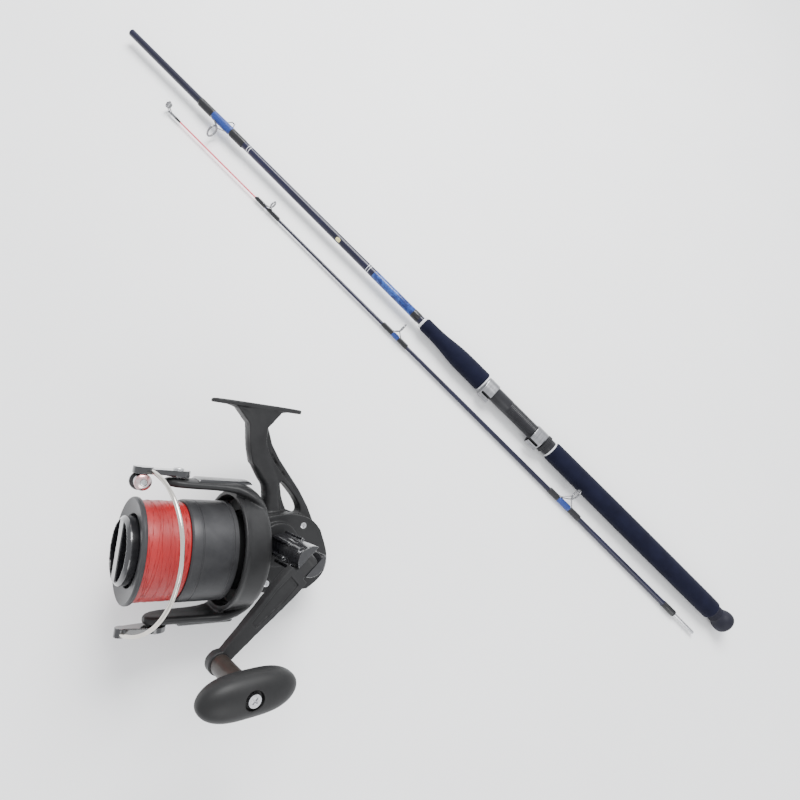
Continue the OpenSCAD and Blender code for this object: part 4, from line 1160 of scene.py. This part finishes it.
def make_winding():
    random.seed(7)
    x0, x1 = 66.05 * MM, 93.95 * MM
    profile = [(x0, 25 * MM), (x0, 32.5 * MM)]
    stations = 60
    for i in range(1, stations):
        t = i / stations
        crown = 32.75 * MM + 0.25 * MM * math.sin(t * math.pi) + 0.05 * MM * random.random()
        profile.append((ramp(x0, x1, t), crown + 0.06 * MM * (i % 2)))
    profile += [(x1, 32.5 * MM), (x1, 25 * MM)]
    bm = spun(closed(profile), 128)
    line = braided_line()
    piece("line_turns", bm, "spool_group", line, ["line_winding"], 80, REEL)
    strands = bmesh.new()
    for k in range(9):
        start = random.random() * 2 * math.pi
        lean = (1 if k % 2 else -1) * (0.6 + 0.4 * random.random())
        points = []
        for i in range(25):
            t = i / 24
            x = ramp(x0 + 1 * MM, x1 - 1 * MM, t if lean > 0 else 1 - t)
            a = start + t * (2.2 + abs(lean)) * math.pi
            r = 33.0 * MM + 0.02 * MM * (k % 3)
            points.append((x, r * math.cos(a), r * math.sin(a)))
        bent_wire(strands, points, 0.16 * MM, sides=1, steps=4)
    piece("crossing_line", strands, "spool_group", line, place=REEL)


make_spool()
make_winding()


# ---- Drag knob ----
# Glossy black moulding on the front of the spool, turned to set the drag, with a raised finger bar
# across its sunk face and a plain rim.

softened("drag_knob", 0.5 * MM, 3, "drag_knob_moulding", "drag", GLOSS_BLACK)


# ---- Handle ----
# A glossy black hub turns in the cover's boss. The cast arm folds on a pin in the hub's slot. Its
# paddle knob turns on a spindle with a dark sleeve, held by a screw.

def dark_sleeve():
    mat, tree, shader, coords = finish_of("dark_sleeve", 0.4, metallic=0.2, coat=0.1)
    shader.inputs["Specular IOR Level"].default_value = 0.25
    fac = noise(tree, coords, 150, 4)
    tint(tree, shader, fac, [(0.3, 0.020, 0.015, 0.013), (0.7, 0.036, 0.028, 0.024)])
    return mat


def soft_knob():
    mat, tree, shader, coords = finish_of("soft_touch_knob", 0.5)
    shader.inputs["Specular IOR Level"].default_value = 0.25
    cloud = noise(tree, coords, 60, 4)
    tint(tree, shader, cloud, [(0.3, 0.009, 0.009, 0.0092), (0.7, 0.015, 0.015, 0.0153)])
    wear(tree, shader, cloud, 0.42, 0.56)
    bump(tree, shader, noise(tree, coords, 1400, 2), 0.14, 0.0001)
    return mat


softened("handle_shaft", 0.45 * MM, 2, "handle_hub", "crank", GLOSS_BLACK)
softened("handle_arm", 0.45 * MM, 3, "handle_arm_cast", "arm", REEL_PLASTIC)
softened("knob_spindle", 0.35 * MM, 2, "knob_spindle_sleeve", "arm", dark_sleeve())


def make_knob():
    """An oval paddle across its spindle, flattened on both faces and drawn in at its ends."""
    spindle = Vector(joints["knob_spin"]["axis"]).normalized()
    centre = Vector(joints["knob_spin"]["pos_m"])
    arm_way = (centre - Vector(joints["handle_fold"]["pos_m"]))
    arm_way = (arm_way - spindle * arm_way.dot(spindle)).normalized()
    turn = Matrix.Rotation(math.radians(-43), 3, spindle)
    long_way = turn @ arm_way
    facing = Matrix((long_way, spindle, long_way.cross(spindle))).transposed().to_4x4()
    place = Matrix.Translation(centre) @ facing
    bm = bmesh.new()
    bmesh.ops.create_uvsphere(bm, u_segments=72, v_segments=48, radius=1)
    for v in bm.verts:
        x, y, z = v.co
        waist = 1 - 0.10 * x * x
        v.co = Vector((28.6 * MM * math.copysign(abs(x) ** 0.62, x),
                       10.4 * MM * math.copysign(abs(y) ** 0.8, y) * waist, 12 * MM * z * waist))
    screw_recess = (5.4 * MM, 8 * MM, 10.8 * MM, 48)
    spindle_bore = (2.55 * MM, 60 * MM, 0, 32)
    for r, depth, middle, sides in (screw_recess, spindle_bore):
        cut = bmesh.new()
        bmesh.ops.create_cone(cut, cap_ends=True, segments=sides, radius1=r, radius2=r, depth=depth)
        bmesh.ops.rotate(cut, matrix=Matrix.Rotation(math.radians(90), 3, "X"), verts=cut.verts)
        bmesh.ops.translate(cut, vec=(0, middle, 0), verts=cut.verts)
        carve(bm, cut)
    bmesh.ops.transform(bm, matrix=place, verts=bm.verts)
    piece("handle_knob_moulding", melted(bm, 0.4 * MM, 4), "knob", soft_knob(),
          ["handle_knob"], 180)


make_knob()


# ---- Inner works ----
# Bearings, shaft, gears, clutch and washers stay as the part's own solids, in ground steel,
# gear brass or woven graphite.

def gear_brass():
    mat, tree, shader, coords = finish_of("gear_brass", 0.3, metallic=1.0)
    fac = noise(tree, coords, 200, 4)
    tint(tree, shader, fac, [(0.3, 0.50, 0.34, 0.12), (0.7, 0.66, 0.47, 0.20)])
    wear(tree, shader, fac, 0.22, 0.4)
    return mat


def graphite_washer():
    mat, tree, shader, coords = finish_of("graphite_washer", 0.6)
    fac = noise(tree, coords, 800, 3)
    tint(tree, shader, fac, [(0.3, 0.02, 0.02, 0.022), (0.7, 0.06, 0.06, 0.063)])
    bump(tree, shader, fac, 0.3, 0.0001)
    return mat


INNER = {
    STEEL: ("pinion_bearing", "one_way_clutch", "gear_bearings", "slider_rod", "main_shaft", "rotor_nut",
            "fold_pin", "knob_screw"),
    gear_brass(): ("pinion_gear", "drive_gear", "oscillation_gear"),
    graphite_washer(): ("drag_washers", "oscillation_slider"),
}
for material, names in INNER.items():
    for name in names:
        finish_kept(name, material)


# ---- Floor, light and camera ----
# A plain pale table, one large soft light high behind the rod, a weaker one from the side, and a
# short lens that looks steeply down and is rolled, so that the rod runs across the view's corner.

def pale_table():
    mat, tree, shader, coords = finish_of("pale_table", 0.55)
    fac = noise(tree, coords, 6, 5)
    tint(tree, shader, fac, [(0.3, 0.92, 0.92, 0.92), (0.7, 0.95, 0.95, 0.95)])
    bump(tree, shader, noise(tree, coords, 350, 3), 0.05, 0.0002)
    return mat


def soft_light(name, place, target, size, power):
    data = bpy.data.lights.new(name, "AREA")
    data.shape = "DISK"
    data.size = size
    data.energy = power
    obj = bpy.data.objects.new(name, data)
    obj.location = place
    obj.rotation_euler = (Vector(target) - Vector(place)).to_track_quat("-Z", "Y").to_euler()
    bpy.context.scene.collection.objects.link(obj)


floor = bmesh.new()
bmesh.ops.create_grid(floor, x_segments=1, y_segments=1, size=3)
floor_mesh = bpy.data.meshes.new("table")
floor.to_mesh(floor_mesh)
floor.free()
floor_mesh.materials.append(pale_table())
table = bpy.data.objects.new("table", floor_mesh)
bpy.context.scene.collection.objects.link(table)

soft_light("key_light", (-0.5, 0.9, 1.3), (0, 0, 0), 1.0, 46)
soft_light("fill_light", (1.1, -0.7, 0.9), (0, 0, 0.05), 0.9, 9)
world = bpy.data.worlds.new("studio")
world.use_nodes = True
world.node_tree.nodes["Background"].inputs["Color"].default_value = (0.95, 0.97, 1.0, 1)
world.node_tree.nodes["Background"].inputs["Strength"].default_value = 1.3
bpy.context.scene.world = world

tilt = math.radians(63)
target = Vector((29 * MM, 106 * MM, 0))
looking = Vector((0, math.cos(tilt), -math.sin(tilt)))
upward = Vector((0, math.sin(tilt), math.cos(tilt)))
sideways = Vector((1, 0, 0))
roll = math.radians(44.9)
camera_x = sideways * math.cos(roll) + upward * math.sin(roll)
camera_y = upward * math.cos(roll) - sideways * math.sin(roll)
camera_data = bpy.data.cameras.new("camera")
camera_data.sensor_width = 36
camera_data.lens = 26.1
camera_data.clip_start = 0.01
camera = bpy.data.objects.new("camera", camera_data)
place = Matrix((camera_x, camera_y, -looking)).transposed().to_4x4()
place.translation = target - looking * (498 * MM / math.sin(tilt))
camera.matrix_world = place
bpy.context.scene.collection.objects.link(camera)
bpy.context.scene.camera = camera
